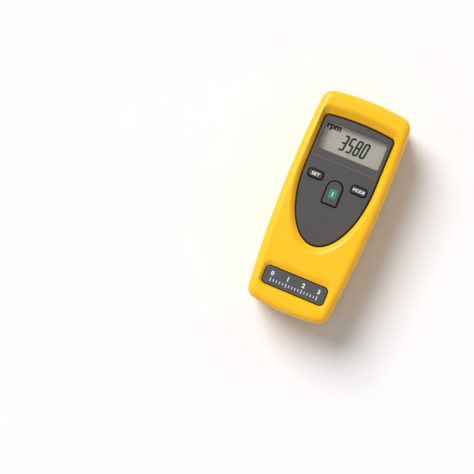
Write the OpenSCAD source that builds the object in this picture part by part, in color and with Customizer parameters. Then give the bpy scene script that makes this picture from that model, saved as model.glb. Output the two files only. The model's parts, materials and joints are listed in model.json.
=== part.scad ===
// Handheld laser tachometer lying on its back: face up, laser end towards +Y, origin under its middle.

/* [Case] */
// Width of the case at its widest
body_w = 61; // [58:0.5:66]
// Length of the case from the laser end to the tail
body_l = 139; // [134:1:150]
// Thickness of the case from the back to the face
body_h = 41; // [40:0.5:45]
// Depth of the parting line below the face
part_drop = 21; // [20.5:0.5:22]
// Wall of both shells
wall = 2.5; // [2:0.1:3]
// Radius of the bowed long sides, seen from the front
side_bow_r = 700; // [500:50:1500]
// Radius of the bowed laser end, seen from the front
head_bow_r = 160; // [120:10:220]
// Radius of the bowed tail, seen from the front
tail_bow_r = 110; // [90:10:200]
// Place along the case at which the sides are widest
bow_y = 14; // [5:1:20]
// Corner radius at the laser end
head_corner_r = 8; // [7:0.5:10]
// Corner radius at the tail
tail_corner_r = 6.8; // [6.4:0.2:9]
// Rounding of the edge around the face
face_round = 4.8; // [3.4:0.2:5.4]
// Rounding of the edge around the back
back_round = 5; // [3.4:0.2:5.4]
// How far each shell leans in from the parting line to its rounding
lean = 0.4; // [0.2:0.1:0.8]
// Depth of the groove along the parting line
seam_groove = 0.3; // [0.1:0.1:0.5]
// Height of the lip that lines the shells up
lip_h = 1.5; // [1:0.1:2]
// Play between the lip and its rebate
lip_gap = 0.15; // [0.05:0.05:0.3]

/* [Face panel] */
// Width of the panel
panel_w = 45.2; // [42:0.2:47]
// Distance from the laser end to the panel's top edge
panel_head_gap = 15; // [13:0.1:17]
// Length of the panel from its top edge to its nose
panel_l = 79.6; // [76:0.1:82]
// Length of the tapering nose
panel_nose_l = 44.8; // [40:0.2:48]
// Corner radius at the top of the panel
panel_corner_r = 2.8; // [2:0.1:4]
// Radius of the panel's bowed top edge
panel_top_r = 150; // [100:10:300]
// Thickness of the panel
panel_t = 2; // [1.8:0.1:2.4]
// Depth of the panel's surface below the face
panel_depth = 2.2; // [1.6:0.1:2.8]
// Distance from the panel's top edge to the crease below the display
crease_drop = 27.8; // [25:0.1:28]
// Angle by which the display part falls away from the crease
display_tilt = 3; // [1:0.5:4]
// Gap around the panel
panel_gap = 0.3; // [0.2:0.05:0.4]
// Width of the ledge that the panel lies on
ledge_w = 2; // [1.5:0.1:2.4]
// Thickness of that ledge
ledge_t = 1.6; // [1.4:0.1:2.2]
// Width of the slope above the panel
slope_head_w = 5; // [4:0.1:6]
// Width of the slope beside the panel
slope_side_w = 2.4; // [1.8:0.1:2.8]
// Width of the slope below the panel's nose
slope_nose_w = 4; // [3:0.1:5]

/* [Display] */
// Width of the display opening
view_w = 39.3; // [37:0.1:40]
// Height of the display opening
view_h = 17.4; // [16:0.1:18]
// Distance from the panel's top edge to the display opening
view_drop = 5.4; // [4.5:0.1:6]
// Corner radius of the display opening
view_r = 0.8; // [0.4:0.1:1.5]
// Overlap of the clear window behind the panel
window_lap = 1.4; // [1:0.1:1.6]
// Thickness of the clear window
window_t = 1; // [0.8:0.1:1.2]
// Width of the display glass
lcd_w = 43; // [41.5:0.5:44]
// Height of the display glass
lcd_h = 22; // [20:0.5:23]
// Thickness of the display glass
lcd_t = 2.4; // [2:0.1:2.8]
// Wall of the frame around the display glass
lcd_frame_wall = 1.4; // [1:0.1:1.8]
// Thickness of the frame's lip over the glass
lcd_lip_t = 0.5; // [0.4:0.1:0.8]
// Overlap of the frame's lip on the glass
lcd_lip_w = 1.2; // [0.8:0.1:1.3]
// Height of the elastomer connector strips
strip_h = 2.4; // [2:0.1:3]
// Width of the elastomer connector strips
strip_w = 2; // [1.6:0.1:2.4]

/* [Keys] */
// Distance of the left and right keys from the middle
key_x = 14; // [13.6:0.1:14.2]
// Distance from the panel's top edge to the middle of those keys
key_drop = 38.6; // [36:0.1:39]
// Width of the left and right key openings
key_w = 10.2; // [10:0.1:11]
// Height of the left and right key openings
key_h = 5.7; // [5.5:0.1:6.6]
// Corner radius of the left and right key openings
key_r = 2; // [1.5:0.1:2.6]
// Width of the power key opening, which is also its arch
power_w = 10.4; // [9.6:0.1:11]
// Height of the power key opening
power_h = 15.9; // [14.5:0.1:16.5]
// Distance from the panel's top edge to the top of the power key's arch
power_drop = 37.5; // [35:0.1:38]
// Corner radius at the foot of the power key opening
power_r = 1.5; // [1:0.1:2]
// Gap around each key
key_gap = 0.3; // [0.2:0.05:0.4]
// Height of the keys above the panel
key_proud = 1; // [0.9:0.1:1.4]
// Rim of each key behind the panel, beyond its opening
key_rim_w = 0.6; // [0.5:0.1:0.7]
// Thickness of that rim
key_rim_t = 1.2; // [1:0.1:1.4]
// Gap between that rim and the panel
key_rim_gap = 0.1; // [0.05:0.05:0.2]
// Travel of each key
key_travel = 0.8; // [0.4:0.1:0.9]
// Side of each switch
switch_w = 6; // [5:0.5:6.5]
// Height of each switch
switch_h = 3.5; // [3:0.1:4]
// Radius of each switch's plunger
plunger_r = 1.75; // [1.2:0.05:2]
// Play of the plunger in its switch
plunger_gap = 0.1; // [0.05:0.05:0.15]

/* [Name plate] */
// Width of the name plate
plate_w = 40.5; // [36:0.5:42]
// Height of the name plate
plate_h = 12; // [10:0.5:13]
// Corner radius of the name plate
plate_r = 3; // [2:0.2:4]
// Distance from the tail to the middle of the name plate
plate_tail_gap = 18.5; // [16:0.5:20]
// Thickness of the name plate
plate_t = 0.8; // [0.5:0.1:1]
// Depth of the name plate's surface below the face
plate_depth = 1.6; // [0.8:0.1:2]
// Gap around the name plate
plate_gap = 0.15; // [0.1:0.05:0.25]
// Width of the slope above the name plate
plate_slope_head = 3.8; // [3:0.1:4.5]
// Width of the slope on the other sides of the name plate
plate_slope = 2; // [1.2:0.1:2.4]

/* [Laser end] */
// Radius of the bezel where it passes the case
bezel_r = 11; // [10.6:0.1:11.6]
// Play of the bezel in the case
bezel_gap = 0.15; // [0.1:0.05:0.25]
// Width of the bezel's flange behind the wall
bezel_flange_w = 1.6; // [1.2:0.1:2]
// Thickness of that flange
bezel_flange_t = 2.2; // [1.6:0.1:2.6]
// Depth of the bezel's face below the furthest point of the case
bezel_sink = 0; // [0:0.1:0.6]
// Width of the bezel's lip over the window
bezel_lip_w = 0.8; // [0.6:0.1:1]
// Thickness of that lip
bezel_lip_t = 1.2; // [0.9:0.1:1.5]
// Wall of the bezel around the window
bezel_wall = 1; // [0.8:0.1:1.2]
// Thickness of the laser-end window
port_t = 1.8; // [1.4:0.1:2]
// Distance of the laser and the receiver from the middle
optic_x = 5.2; // [5:0.1:5.3]
// Radius of the laser module
laser_r = 4; // [3.6:0.1:4.1]
// Radius of the receiver lens
lens_r = 4.5; // [4:0.1:4.6]
// Thickness of the receiver lens at its middle
lens_t = 3; // [2.4:0.1:3.4]
// Radius of the photodiode
diode_r = 2.5; // [2:0.1:2.6]
// Length of the optics block
block_l = 16.5; // [15:0.5:18]
// Wall of the optics block beyond its bores
block_wall = 1; // [0.8:0.1:1.2]
// Play of the optics in their block
optic_gap = 0.05; // [0.02:0.01:0.1]
// Distance by which the laser module stands out of its block
laser_proud = 1; // [0.6:0.1:1.4]
// Distance from the laser module to the bezel
block_front_gap = 1.4; // [1:0.1:2]
// Gap between the optics block and the main board
block_top_gap = 0.5; // [0.4:0.1:0.8]
// Width of the block's ears
ear_w = 7; // [6:0.2:8]
// Thickness of the block's ears
ear_t = 2.5; // [2:0.1:3]
// Depth of the ears' seats below the parting line
ear_drop = 5; // [4.5:0.1:6]
// Radius of the laser module's lens
laser_lens_r = 2.6; // [2:0.1:3]
// Thickness of the laser module's lens
laser_lens_t = 1.4; // [1:0.1:1.6]
// Radius of the photodiode's leads
lead_r = 0.25; // [0.2:0.05:0.3]

/* [Power] */
// Diameter of a cell
cell_d = 14.3; // [14:0.1:14.5]
// Length of a cell without its nub
cell_l = 49.2; // [48.5:0.1:49.5]
// Length of a cell's nub
nub_l = 1.2; // [1:0.1:1.5]
// Radius of a cell's nub
nub_r = 2.6; // [2:0.1:2.75]
// Play around the cells
cell_gap = 0.4; // [0.3:0.05:0.6]
// Distance from the tail to the cell bay
bay_tail_gap = 9; // [8.5:0.5:10]
// Wall of the cell bay
bay_wall = 1.5; // [1.2:0.1:1.6]
// Thickness of the cell contacts
contact_t = 0.4; // [0.3:0.05:0.6]
// Width of the cell contacts
contact_w = 10; // [8:0.5:11]
// Length of the contact springs as fitted
spring_l = 4.2; // [3.5:0.1:5]
// Radius of the spring wire
wire_r = 0.4; // [0.3:0.05:0.5]
// Thickness of the battery door
door_t = 2.6; // [2.2:0.1:2.8]
// Depth of the door's face below the back
door_sink = 0.2; // [0.1:0.05:0.4]
// Play around the door
door_gap = 0.25; // [0.15:0.05:0.35]
// Width of the door beyond the cell bay on each side
door_lap = 1; // [0.6:0.1:1.2]
// Width of the tongues along the door
tongue_w = 1.1; // [0.8:0.1:1.3]
// Thickness of those tongues
tongue_t = 0.8; // [0.6:0.1:1]

/* [Boards and fasteners] */
// Thickness of the circuit boards
board_t = 1.6; // [1.2:0.1:1.8]
// Distance of the main board's edge inside the case outline
board_inset = 6.5; // [6:0.1:7]
// Gap between the main board and the case bosses
board_clear = 0.6; // [0.4:0.1:0.8]
// Distance of the upper board bosses above the panel's top edge
board_boss_rise = 3.4; // [3:0.1:3.8]
// Distance of the main board's end above the panel's top edge
board_rise = 6.9; // [6.5:0.1:7.2]
// Length of a board screw in its boss
small_bite = 4; // [3:0.1:4.4]
// Width of the header between the boards
header_w = 12; // [8:0.5:16]
// Height of the header between the boards
header_h = 2.8; // [2.5:0.1:4]
// Thickness of the header between the boards
header_t = 2.4; // [2:0.1:3]
// Radius of a case screw
screw_r = 1.45; // [1.2:0.05:1.6]
// Radius of a case screw's head
screw_head_r = 2.7; // [2.4:0.05:2.8]
// Height of a case screw's head
screw_head_h = 2; // [1.6:0.1:2.4]
// Depth of a case screw's head below the back
screw_sink = 4; // [3:0.1:5]
// Length of a case screw in the front case
screw_bite = 10; // [7:0.5:11]
// Radius of the case bosses
boss_r = 3.3; // [3.1:0.1:3.5]
// Distance of the case bosses inside the widest outline
boss_inset = 8.7; // [8.2:0.1:9]
// Distance of the upper case bosses from the laser end
boss_head_gap = 12.5; // [12:0.5:14]
// Distance of the lower case bosses from the tail
boss_tail_gap = 23; // [21:0.5:26]
// Radius of a board screw
small_screw_r = 1.1; // [0.9:0.05:1.2]
// Radius of a board screw's head
small_head_r = 2; // [1.8:0.05:2.2]
// Height of a board screw's head
small_head_h = 1.2; // [1:0.1:1.4]
// Radius of the board bosses
small_boss_r = 2.5; // [2.3:0.1:2.7]
// Play of a screw in the boss that it bites
thread_gap = 0.05; // [0.02:0.01:0.1]
// Outer radius of the tripod bush
bush_r = 4.75; // [4.4:0.05:5]
// Radius of the tripod bush's tapped bore
bush_bore_r = 2.55; // [2.5:0.05:2.7]
// Length of the tripod bush
bush_l = 9; // [8:0.5:10]
// Distance of the tripod bush from the middle
bush_y = 20; // [16:1:26]
// Wall of the boss around the tripod bush
bush_wall = 2.2; // [1.6:0.1:2.6]

/* [Hidden] */

yellow = "#FFC61E";
panel_grey = "#585655";
black = "#232324";
board_green = "#1F5B3A";
steel = "#B9BCC0";
brass = "#C8A24A";
glass = "#C9D3D8";
$fn = 48;

// How far a cut runs past the face that it opens
cut = 1;
// Points along each stretch of an outline
end_n = 5;
corner_n = 6;
side_n = 8;
nose_n = 14;
round_n = 6;
// Steps of the contact springs
spring_turns = 3.5;
spring_steps = 14;

// Places along the case
head_y = body_l / 2;
tail_y = -body_l / 2;
panel_top_y = head_y - panel_head_gap;
nose_y = panel_top_y - panel_l;
shoulder_y = nose_y + panel_nose_l;
crease_y = panel_top_y - crease_drop;
view_y = panel_top_y - view_drop - view_h / 2;
key_y = panel_top_y - key_drop;
power_top_y = panel_top_y - power_drop;
plate_y = tail_y + plate_tail_gap;

// Heights of the parting line and of the stack below the face
part_z = body_h - part_drop;
panel_z = body_h - panel_depth;
panel_low_z = panel_z - panel_t;
display_fall = crease_drop * tan(display_tilt);
slab_z = panel_low_z - display_fall - ledge_t;
stack_gap = 0.1;
lcd_z = slab_z - stack_gap - lcd_lip_t - lcd_t;
board_z = lcd_z - strip_h;
board_low_z = board_z - board_t;
rim_z = panel_low_z - key_rim_gap - key_rim_t;
switch_z = board_z + switch_h;
plate_low_z = body_h - plate_depth - plate_t;

// Power bay
bay_y = tail_y + bay_tail_gap;
bay_l = cell_l + nub_l + spring_l + 2 * contact_t;
cell_x = cell_d / 2 + cell_gap / 2;
bay_half_w = cell_d + 1.5 * cell_gap;
door_top_z = door_sink + door_t;
door_room_z = door_top_z + door_gap;
cell_z = door_room_z + cell_gap + cell_d / 2;
bay_top_z = cell_z + cell_d / 2 + cell_gap;
door_half_w = bay_half_w + door_lap;
door_y = bay_y + bay_l + 2 * door_lap;
tongue_z = door_top_z - 1.5 * tongue_t;
contact_x = [-cell_x, cell_x];

// Laser end
port_y = head_y - bezel_sink;
port_r = bezel_r - bezel_wall;
flange_y = head_y - wall - pow(bezel_r + bezel_flange_w, 2) / head_bow_r / 2 - stack_gap;
block_y = flange_y - bezel_flange_t - laser_proud - block_front_gap;
block_top_z = board_low_z - block_top_gap;
block_half_h = block_top_z - part_z;
block_half_w = optic_x + lens_r + block_wall;
lens_back_y = block_y - 2 * lens_t;
ear_z = part_z - ear_drop;
ear_x = block_half_w + ear_w / 2;
ear_y = block_y - block_l / 2;

// Fasteners
case_boss_x = body_w / 2 - boss_inset;
case_boss_at = [
  for (s = [-1, 1]) [s * case_boss_x, head_y - boss_head_gap],
  for (s = [-1, 1]) [s * case_boss_x, tail_y + boss_tail_gap]];
board_boss_x = (block_half_w + case_boss_x - boss_r) / 2;
board_boss_at = [
  for (s = [-1, 1]) [s * board_boss_x, panel_top_y + board_boss_rise],
  for (s = [-1, 1]) [s * board_boss_x, nose_y - slope_nose_w - wall - 2 * small_boss_r]];
board_head_y = panel_top_y + board_rise;
screw_seat_z = screw_sink + screw_head_h;

// Outline of the case, inset by a distance, as points from the tail round to the tail again
function arc(centre, r, from, to, n) =
  [for (i = [0 : n - 1]) let (a = from + (to - from) * i / n) centre + r * [cos(a), sin(a)]];
function meet(c1, r1, c2, r2, side) =
  let (d = norm(c2 - c1), u = (c2 - c1) / d, a = (r1 * r1 - r2 * r2 + d * d) / (2 * d),
       h = sqrt(r1 * r1 - a * a))
  c1 + a * u + side * h * [-u.y, u.x];
function angle(from, to) = atan2(to.y - from.y, to.x - from.x);
function mirrored(half) =
  concat(half, [for (i = [len(half) - 2 : -1 : 1]) [-half[i].x, half[i].y]]);

side_c = [body_w / 2 - side_bow_r, bow_y];
head_c = [0, head_y - head_bow_r];
tail_c = [0, tail_y + tail_bow_r];
head_corner = meet(side_c, side_bow_r - head_corner_r, head_c, head_bow_r - head_corner_r, 1);
tail_corner = meet(side_c, side_bow_r - tail_corner_r, tail_c, tail_bow_r - tail_corner_r, -1);

function case_outline(inset) = mirrored(concat(
  arc(tail_c, tail_bow_r - inset, -90, angle(tail_c, tail_corner), end_n),
  arc(tail_corner, max(tail_corner_r - inset, 0.2), angle(tail_c, tail_corner),
      angle(side_c, tail_corner), corner_n),
  arc(side_c, side_bow_r - inset, angle(side_c, tail_corner), angle(side_c, head_corner), side_n),
  arc(head_corner, max(head_corner_r - inset, 0.2), angle(side_c, head_corner),
      angle(head_c, head_corner), corner_n),
  arc(head_c, head_bow_r - inset, angle(head_c, head_corner), 90, end_n),
  [[0, head_y - inset]]));

// Outline of the face panel, grown at its sides, top and nose
function shield(side, top, nose) =
  let (a = panel_w / 2 + side, b = panel_nose_l + nose, r = panel_corner_r + side,
       c = [0, panel_top_y + top - panel_top_r],
       corner = [a - r, c.y + sqrt(pow(panel_top_r - r, 2) - pow(a - r, 2))],
       turn = angle(c, corner))
  mirrored(concat(
    [for (i = [0 : nose_n - 1]) let (t = 90 * i / nose_n) [a * sin(t), shoulder_y - b * cos(t)]],
    [[a, shoulder_y]],
    arc(corner, r, 0, turn, corner_n),
    arc(c, panel_top_r, turn, 90, end_n),
    [[0, panel_top_y + top]]));

// Outline of a rectangle between two corners, with round corners
function round_rect(low, high, r) = concat(
  arc([high.x - r, low.y + r], r, -90, 0, corner_n), [[high.x, low.y + r]],
  arc([high.x - r, high.y - r], r, 0, 90, corner_n), [[high.x - r, high.y]],
  arc([low.x + r, high.y - r], r, 90, 180, corner_n), [[low.x, high.y - r]],
  arc([low.x + r, low.y + r], r, 180, 270, corner_n), [[low.x + r, low.y]]);

function panel_surface(y) = panel_z - max(0, y - crease_y) * tan(display_tilt);
function raised(outline, z) = [for (p = outline) [p.x, p.y, z]];

// Solid through rings of points, each ring above the last
module loft(rings) {
  n = len(rings[0]);
  last = len(rings) - 1;
  polyhedron(
    points = [for (ring = rings) each ring],
    faces = concat(
      [[for (i = [0 : n - 1]) i]],
      [for (k = [0 : last - 1], i = [0 : n - 1]) let (j = (i + 1) % n)
        each [[k * n + i, (k + 1) * n + i, (k + 1) * n + j],
              [k * n + i, (k + 1) * n + j, k * n + j]]],
      [[for (i = [n - 1 : -1 : 0]) last * n + i]]));
}

module case_loft(levels) loft([for (l = levels) raised(case_outline(l[1]), l[0])]);

// Rings of a rounded edge, from the wall to the flat, as heights and insets
function edge_up(z, r, inset) =
  [for (i = [0 : round_n]) let (t = 90 * i / round_n)
    [z - r * (1 - sin(t)), inset + r * (1 - cos(t))]];
function edge_down(z, r, inset) =
  [for (i = [round_n : -1 : 0]) let (t = 90 * i / round_n)
    [z + r * (1 - sin(t)), inset + r * (1 - cos(t))]];

// A bowl-shaped cut between a floor outline and a rim outline, run past both ends
module dish(floor_ring, rim_ring) {
  function run(s) = [for (i = [0 : len(floor_ring) - 1])
    floor_ring[i] + s * (rim_ring[i] - floor_ring[i])];
  loft([run(-0.15), run(1.08)]);
}

module prism(outline, low, high) translate([0, 0, low]) linear_extrude(high - low) polygon(outline);

module block(low, high) translate(low) cube(high - low);

// Band that follows the panel's bent surface, between two depths, or up to a flat height
module bent_band(low, high, flat_top = false) {
  far = head_y + cut;
  fall = (far - crease_y) * tan(display_tilt);
  top_fall = flat_top ? 0 : fall;
  rotate([90, 0, 90]) linear_extrude(body_w, center = true) polygon([
    [tail_y, panel_z + low], [crease_y, panel_z + low], [far, panel_z + low - fall],
    [far, panel_z + high - top_fall], [crease_y, panel_z + high], [tail_y, panel_z + high]]);
}

module along_y(x, z, y) translate([x, y, z]) rotate([-90, 0, 0]) children();

module plate_outline_cut(grow, low, high) prism(
  round_rect([-plate_w / 2 - grow, plate_y - plate_h / 2 - grow],
             [plate_w / 2 + grow, plate_y + plate_h / 2 + grow], plate_r + grow), low, high);

// Round way through the end wall for the bezel
module port_bore() along_y(0, part_z, flange_y - cut)
  cylinder(r = bezel_r + bezel_gap, h = head_y - flange_y + 2 * cut);

// Yellow upper shell, with the recess for the panel and the name plate
module front_case() color(yellow) difference() {
  case_loft(concat([[part_z, seam_groove], [part_z + seam_groove, 0]], edge_up(body_h, face_round, lean)));
  difference() {
    case_loft(concat([[part_z - cut, wall]],
                     edge_up(body_h - wall, max(face_round - wall, 0.6), lean + wall)));
    prism(shield(slope_side_w + wall / 2, slope_head_w + wall / 2, slope_nose_w + wall / 2),
          slab_z, body_h);
    plate_outline_cut(plate_slope_head, plate_low_z - wall, body_h);
    for (p = case_boss_at) translate([p.x, p.y, part_z - 2 * cut]) cylinder(r = boss_r, h = body_h);
    for (p = board_boss_at) translate([p.x, p.y, board_z]) cylinder(r = small_boss_r, h = body_h);
  }
  dish([for (p = shield(panel_gap, panel_gap, panel_gap)) [p.x, p.y, panel_surface(p.y)]],
       raised(shield(slope_side_w, slope_head_w, slope_nose_w), body_h));
  intersection() {
    prism(shield(panel_gap, panel_gap, panel_gap), 0, body_h + cut);
    bent_band(-panel_t, panel_depth + 2 * cut, true);
  }
  prism(shield(-ledge_w, -ledge_w, -ledge_w), slab_z - cut, body_h);
  dish(raised(round_rect([-plate_w / 2 - plate_gap, plate_y - plate_h / 2 - plate_gap],
                         [plate_w / 2 + plate_gap, plate_y + plate_h / 2 + plate_gap],
                         plate_r + plate_gap), body_h - plate_depth),
       raised(round_rect([-plate_w / 2 - plate_slope, plate_y - plate_h / 2 - plate_slope],
                         [plate_w / 2 + plate_slope, plate_y + plate_h / 2 + plate_slope_head],
                         plate_r + plate_slope), body_h));
  plate_outline_cut(plate_gap, plate_low_z, body_h);
  difference() {
    prism(case_outline(wall / 2), part_z - cut, part_z + lip_h + lip_gap);
    prism(case_outline(wall + lip_gap), part_z - 2 * cut, part_z + 2 * lip_h);
  }
  for (p = case_boss_at) translate([p.x, p.y, part_z - cut])
    cylinder(r = screw_r + thread_gap, h = screw_bite + 2 * cut);
  for (p = board_boss_at) translate([p.x, p.y, board_z - cut])
    cylinder(r = small_screw_r + thread_gap, h = small_bite + 1.5 * cut);
  port_bore();
}

// Room that the battery door and its tongues take, with a gap around it
module door_room(gap, low, high) {
  block([-door_half_w - gap, tail_y - cut, low], [door_half_w + gap, door_y + gap, high]);
  block([-door_half_w - tongue_w - gap, tail_y - cut, tongue_z - gap],
        [door_half_w + tongue_w + gap, door_y + gap, tongue_z + tongue_t + gap]);
}

rear_levels = concat(edge_down(0, back_round, lean), [[part_z - seam_groove, 0], [part_z, seam_groove]]);

// Yellow lower shell, with the cell bay, the bosses and the lip
module rear_case() color(yellow) difference() {
  union() {
    case_loft(rear_levels);
    difference() {
      prism(case_outline(wall / 2 + lip_gap), part_z - wall, part_z + lip_h);
      prism(case_outline(wall), part_z - 2 * wall, part_z + lip_h + cut);
      for (p = case_boss_at) translate([p.x, p.y, part_z]) cylinder(r = boss_r + lip_gap, h = 2 * lip_h);
    }
  }
  difference() {
    case_loft(concat(edge_down(wall, max(back_round - wall, 0.6), lean + wall),
                     [[part_z + 2 * lip_h, wall]]));
    block([-bay_half_w - bay_wall, bay_y - bay_wall, 0],
          [bay_half_w + bay_wall, bay_y + bay_l + bay_wall, bay_top_z + bay_wall]);
    block([-door_half_w - tongue_w - wall, tail_y, 0],
          [door_half_w + tongue_w + wall, door_y + wall, door_room_z + bay_wall]);
    for (p = case_boss_at) translate([p.x, p.y, 0]) cylinder(r = boss_r, h = part_z);
    for (s = [-1, 1]) translate([s * ear_x, ear_y, 0]) cylinder(r = small_boss_r, h = ear_z);
    translate([0, bush_y, 0]) cylinder(r = bush_r + bush_wall, h = bush_l + bush_wall);
  }
  block([-bay_half_w, bay_y, -cut], [bay_half_w, bay_y + bay_l, bay_top_z]);
  door_room(door_gap, -cut, door_room_z);
  for (x = contact_x, y = [bay_y, bay_y + bay_l - contact_t - stack_gap])
    block([x - contact_w / 4, y, cell_z], [x + contact_w / 4, y + contact_t + stack_gap, part_z + 2 * cut]);
  for (p = case_boss_at) translate([p.x, p.y, -cut]) {
    cylinder(r = screw_head_r + 2 * door_gap, h = cut + screw_seat_z);
    cylinder(r = screw_r + door_gap, h = part_z + 2 * cut);
  }
  for (s = [-1, 1]) translate([s * ear_x, ear_y, ear_z - 2 * small_bite])
    cylinder(r = small_screw_r + thread_gap, h = 2 * small_bite + cut);
  translate([0, bush_y, -cut]) cylinder(r = bush_r + thread_gap, h = bush_l + cut);
  port_bore();
}

// Sliding cover over the cells, with a ribbed thumb rest
module battery_door() color(yellow) {
  rest_w = 18;
  rest_l = 11;
  rest_y = door_y - 2 * rest_l;
  rest_r = 1.5;
  rest_t = 0.9;
  ribs = 5;
  rib_w = 1;
  difference() {
    intersection() {
      case_loft(rear_levels);
      door_room(0, door_sink, door_top_z);
    }
    prism(round_rect([-rest_w / 2, rest_y], [rest_w / 2, rest_y + rest_l], rest_r),
          -cut, door_sink + rest_t);
  }
  for (i = [1 : ribs]) let (y = rest_y + rest_l * i / (ribs + 1))
    block([-rest_w / 2 + rest_r, y - rib_w / 2, door_sink + rest_t / 4],
          [rest_w / 2 - rest_r, y + rib_w / 2, door_sink + rest_t]);
}

module key_outline(grow) {
  w = key_w / 2 + grow;
  h = key_h / 2 + grow;
  r = key_r + grow;
  square([2 * w, 2 * (h - r)], center = true);
  square([2 * (w - r), 2 * h], center = true);
  for (x = [-1, 1], y = [-1, 1]) translate([x * (w - r), y * (h - r)]) circle(r);
}

// Arch of the power key, with the middle of the arch at the origin
module arch_outline(grow) {
  w = power_w / 2 + grow;
  foot = power_h - power_w / 2 + grow;
  r = power_r + grow;
  circle(w);
  translate([-w, r - foot]) square([2 * w, foot - r]);
  translate([r - w, -foot]) square([2 * (w - r), foot]);
  for (x = [-1, 1]) translate([x * (w - r), r - foot]) circle(r);
}

power_at = [0, power_top_y - power_w / 2];
power_press_y = power_top_y - power_h / 2;

// Dark grey shield that carries the display opening and the keys
module face_panel() color(panel_grey) difference() {
  intersection() {
    prism(shield(0, 0, 0), slab_z, body_h);
    bent_band(-panel_t, 0);
  }
  prism(round_rect([-view_w / 2, view_y - view_h / 2], [view_w / 2, view_y + view_h / 2], view_r),
        slab_z, body_h);
  window_slab(stack_gap);
  for (s = [-1, 1]) translate([s * key_x, key_y, slab_z]) linear_extrude(body_h) key_outline(0);
  translate([power_at.x, power_at.y, slab_z]) linear_extrude(body_h) arch_outline(0);
}

module window_slab(gap) intersection() {
  block([-view_w / 2 - window_lap - gap, view_y - view_h / 2 - window_lap - gap, 0],
        [view_w / 2 + window_lap + gap, view_y + view_h / 2 + window_lap + gap, body_h]);
  bent_band(-panel_t - 10 * gap, window_t - panel_t + gap);
}

module display_window() color("#DDE3E0", 0.4) window_slab(0);

module name_plate() color(panel_grey) plate_outline_cut(0, plate_low_z, plate_low_z + plate_t);

module cap(rise) {
  linear_extrude_from(rim_z, rim_z + key_rim_t) children(0);
  linear_extrude_from(rim_z, panel_z + rise) children(1);
}

module linear_extrude_from(low, high) translate([0, 0, low]) linear_extrude(high - low) children();

module side_key(x) color(black) translate([x, key_y, 0]) cap(key_proud) {
  key_outline(key_rim_w);
  key_outline(-key_gap);
}

module left_key() side_key(-key_x);
module right_key() side_key(key_x);

module power_key() color(panel_grey) translate([power_at.x, power_at.y, 0]) cap(key_proud) {
  arch_outline(key_rim_w);
  arch_outline(-key_gap);
}

switch_at = [[-key_x, key_y], [key_x, key_y], [0, power_press_y]];
plunger_low_z = switch_z - key_travel - 1;

module switch_plunger(i) color(black) translate([switch_at[i].x, switch_at[i].y, plunger_low_z])
  cylinder(r = plunger_r, h = rim_z - plunger_low_z);

module left_plunger() switch_plunger(0);
module right_plunger() switch_plunger(1);
module power_plunger() switch_plunger(2);

module switch_body(i) color(steel) translate([switch_at[i].x, switch_at[i].y, 0]) difference() {
  block([-switch_w / 2, -switch_w / 2, board_z], [switch_w / 2, switch_w / 2, switch_z]);
  translate([0, 0, plunger_low_z - key_travel - stack_gap])
    cylinder(r = plunger_r + plunger_gap, h = switch_h);
}

module left_switch() switch_body(0);
module right_switch() switch_body(1);
module power_switch() switch_body(2);

// Board that carries the display, the switches and the contacts
module main_board() color(board_green) difference() {
  intersection() {
    prism(case_outline(board_inset), board_low_z, board_z);
    block([-body_w, tail_y, 0], [body_w, board_head_y, body_h]);
  }
  for (p = case_boss_at) translate([p.x, p.y, board_low_z - cut])
    cylinder(r = boss_r + board_clear, h = board_t + 2 * cut);
  for (p = board_boss_at) translate([p.x, p.y, board_low_z - cut])
    cylinder(r = small_screw_r + thread_gap, h = board_t + 2 * cut);
}

module view_block(w, h, low, high) block([-w / 2, view_y - h / 2, low], [w / 2, view_y + h / 2, high]);

module lcd_glass() color("#B2B0A0") view_block(lcd_w, lcd_h, lcd_z, lcd_z + lcd_t);

module lcd_frame() color(black) difference() {
  grow = 2 * (stack_gap + lcd_frame_wall);
  view_block(lcd_w + grow, lcd_h + grow, board_z, lcd_z + lcd_t + lcd_lip_t);
  view_block(lcd_w + 2 * stack_gap, lcd_h + 2 * stack_gap, board_z - cut, lcd_z + lcd_t);
  view_block(lcd_w - 2 * lcd_lip_w, lcd_h - 2 * lcd_lip_w, board_z, body_h);
}

// Elastomer strip between the board and one edge of the display glass
module connector_strip(side) color("#D9A7A0") {
  y = view_y + side * (lcd_h / 2 - strip_w);
  half_l = lcd_w / 2 - 2 * strip_w;
  block([-half_l, y - strip_w / 2, board_z], [half_l, y + strip_w / 2, lcd_z]);
}

module upper_strip() connector_strip(1);
module lower_strip() connector_strip(-1);

// Square chip with gull-wing leads, on the back of the board
chip_at = [0, crease_y];
chip_w = 10;
chip_t = 1.4;
module microcontroller() color(black) translate([chip_at.x, chip_at.y, 0]) {
  leads = 11;
  pitch = 0.8;
  lead_w = 0.36;
  lead_t = 0.3;
  lead_drop = 0.8;
  knee = chip_w / 2 + 0.4;
  foot = knee + 0.7;
  block([-chip_w / 2, -chip_w / 2, board_low_z - chip_t - stack_gap],
        [chip_w / 2, chip_w / 2, board_low_z - stack_gap]);
  for (turn = [0 : 90 : 270]) rotate(turn) for (i = [1 : leads])
    translate([0, (i - (leads + 1) / 2) * pitch, board_low_z]) {
      block([chip_w / 2 - lead_t, -lead_w / 2, -lead_drop],
            [knee + lead_t, lead_w / 2, lead_t - lead_drop]);
      block([knee, -lead_w / 2, -lead_drop], [knee + lead_t, lead_w / 2, 0]);
      block([knee, -lead_w / 2, -lead_t], [foot, lead_w / 2, 0]);
    }
}

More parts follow.
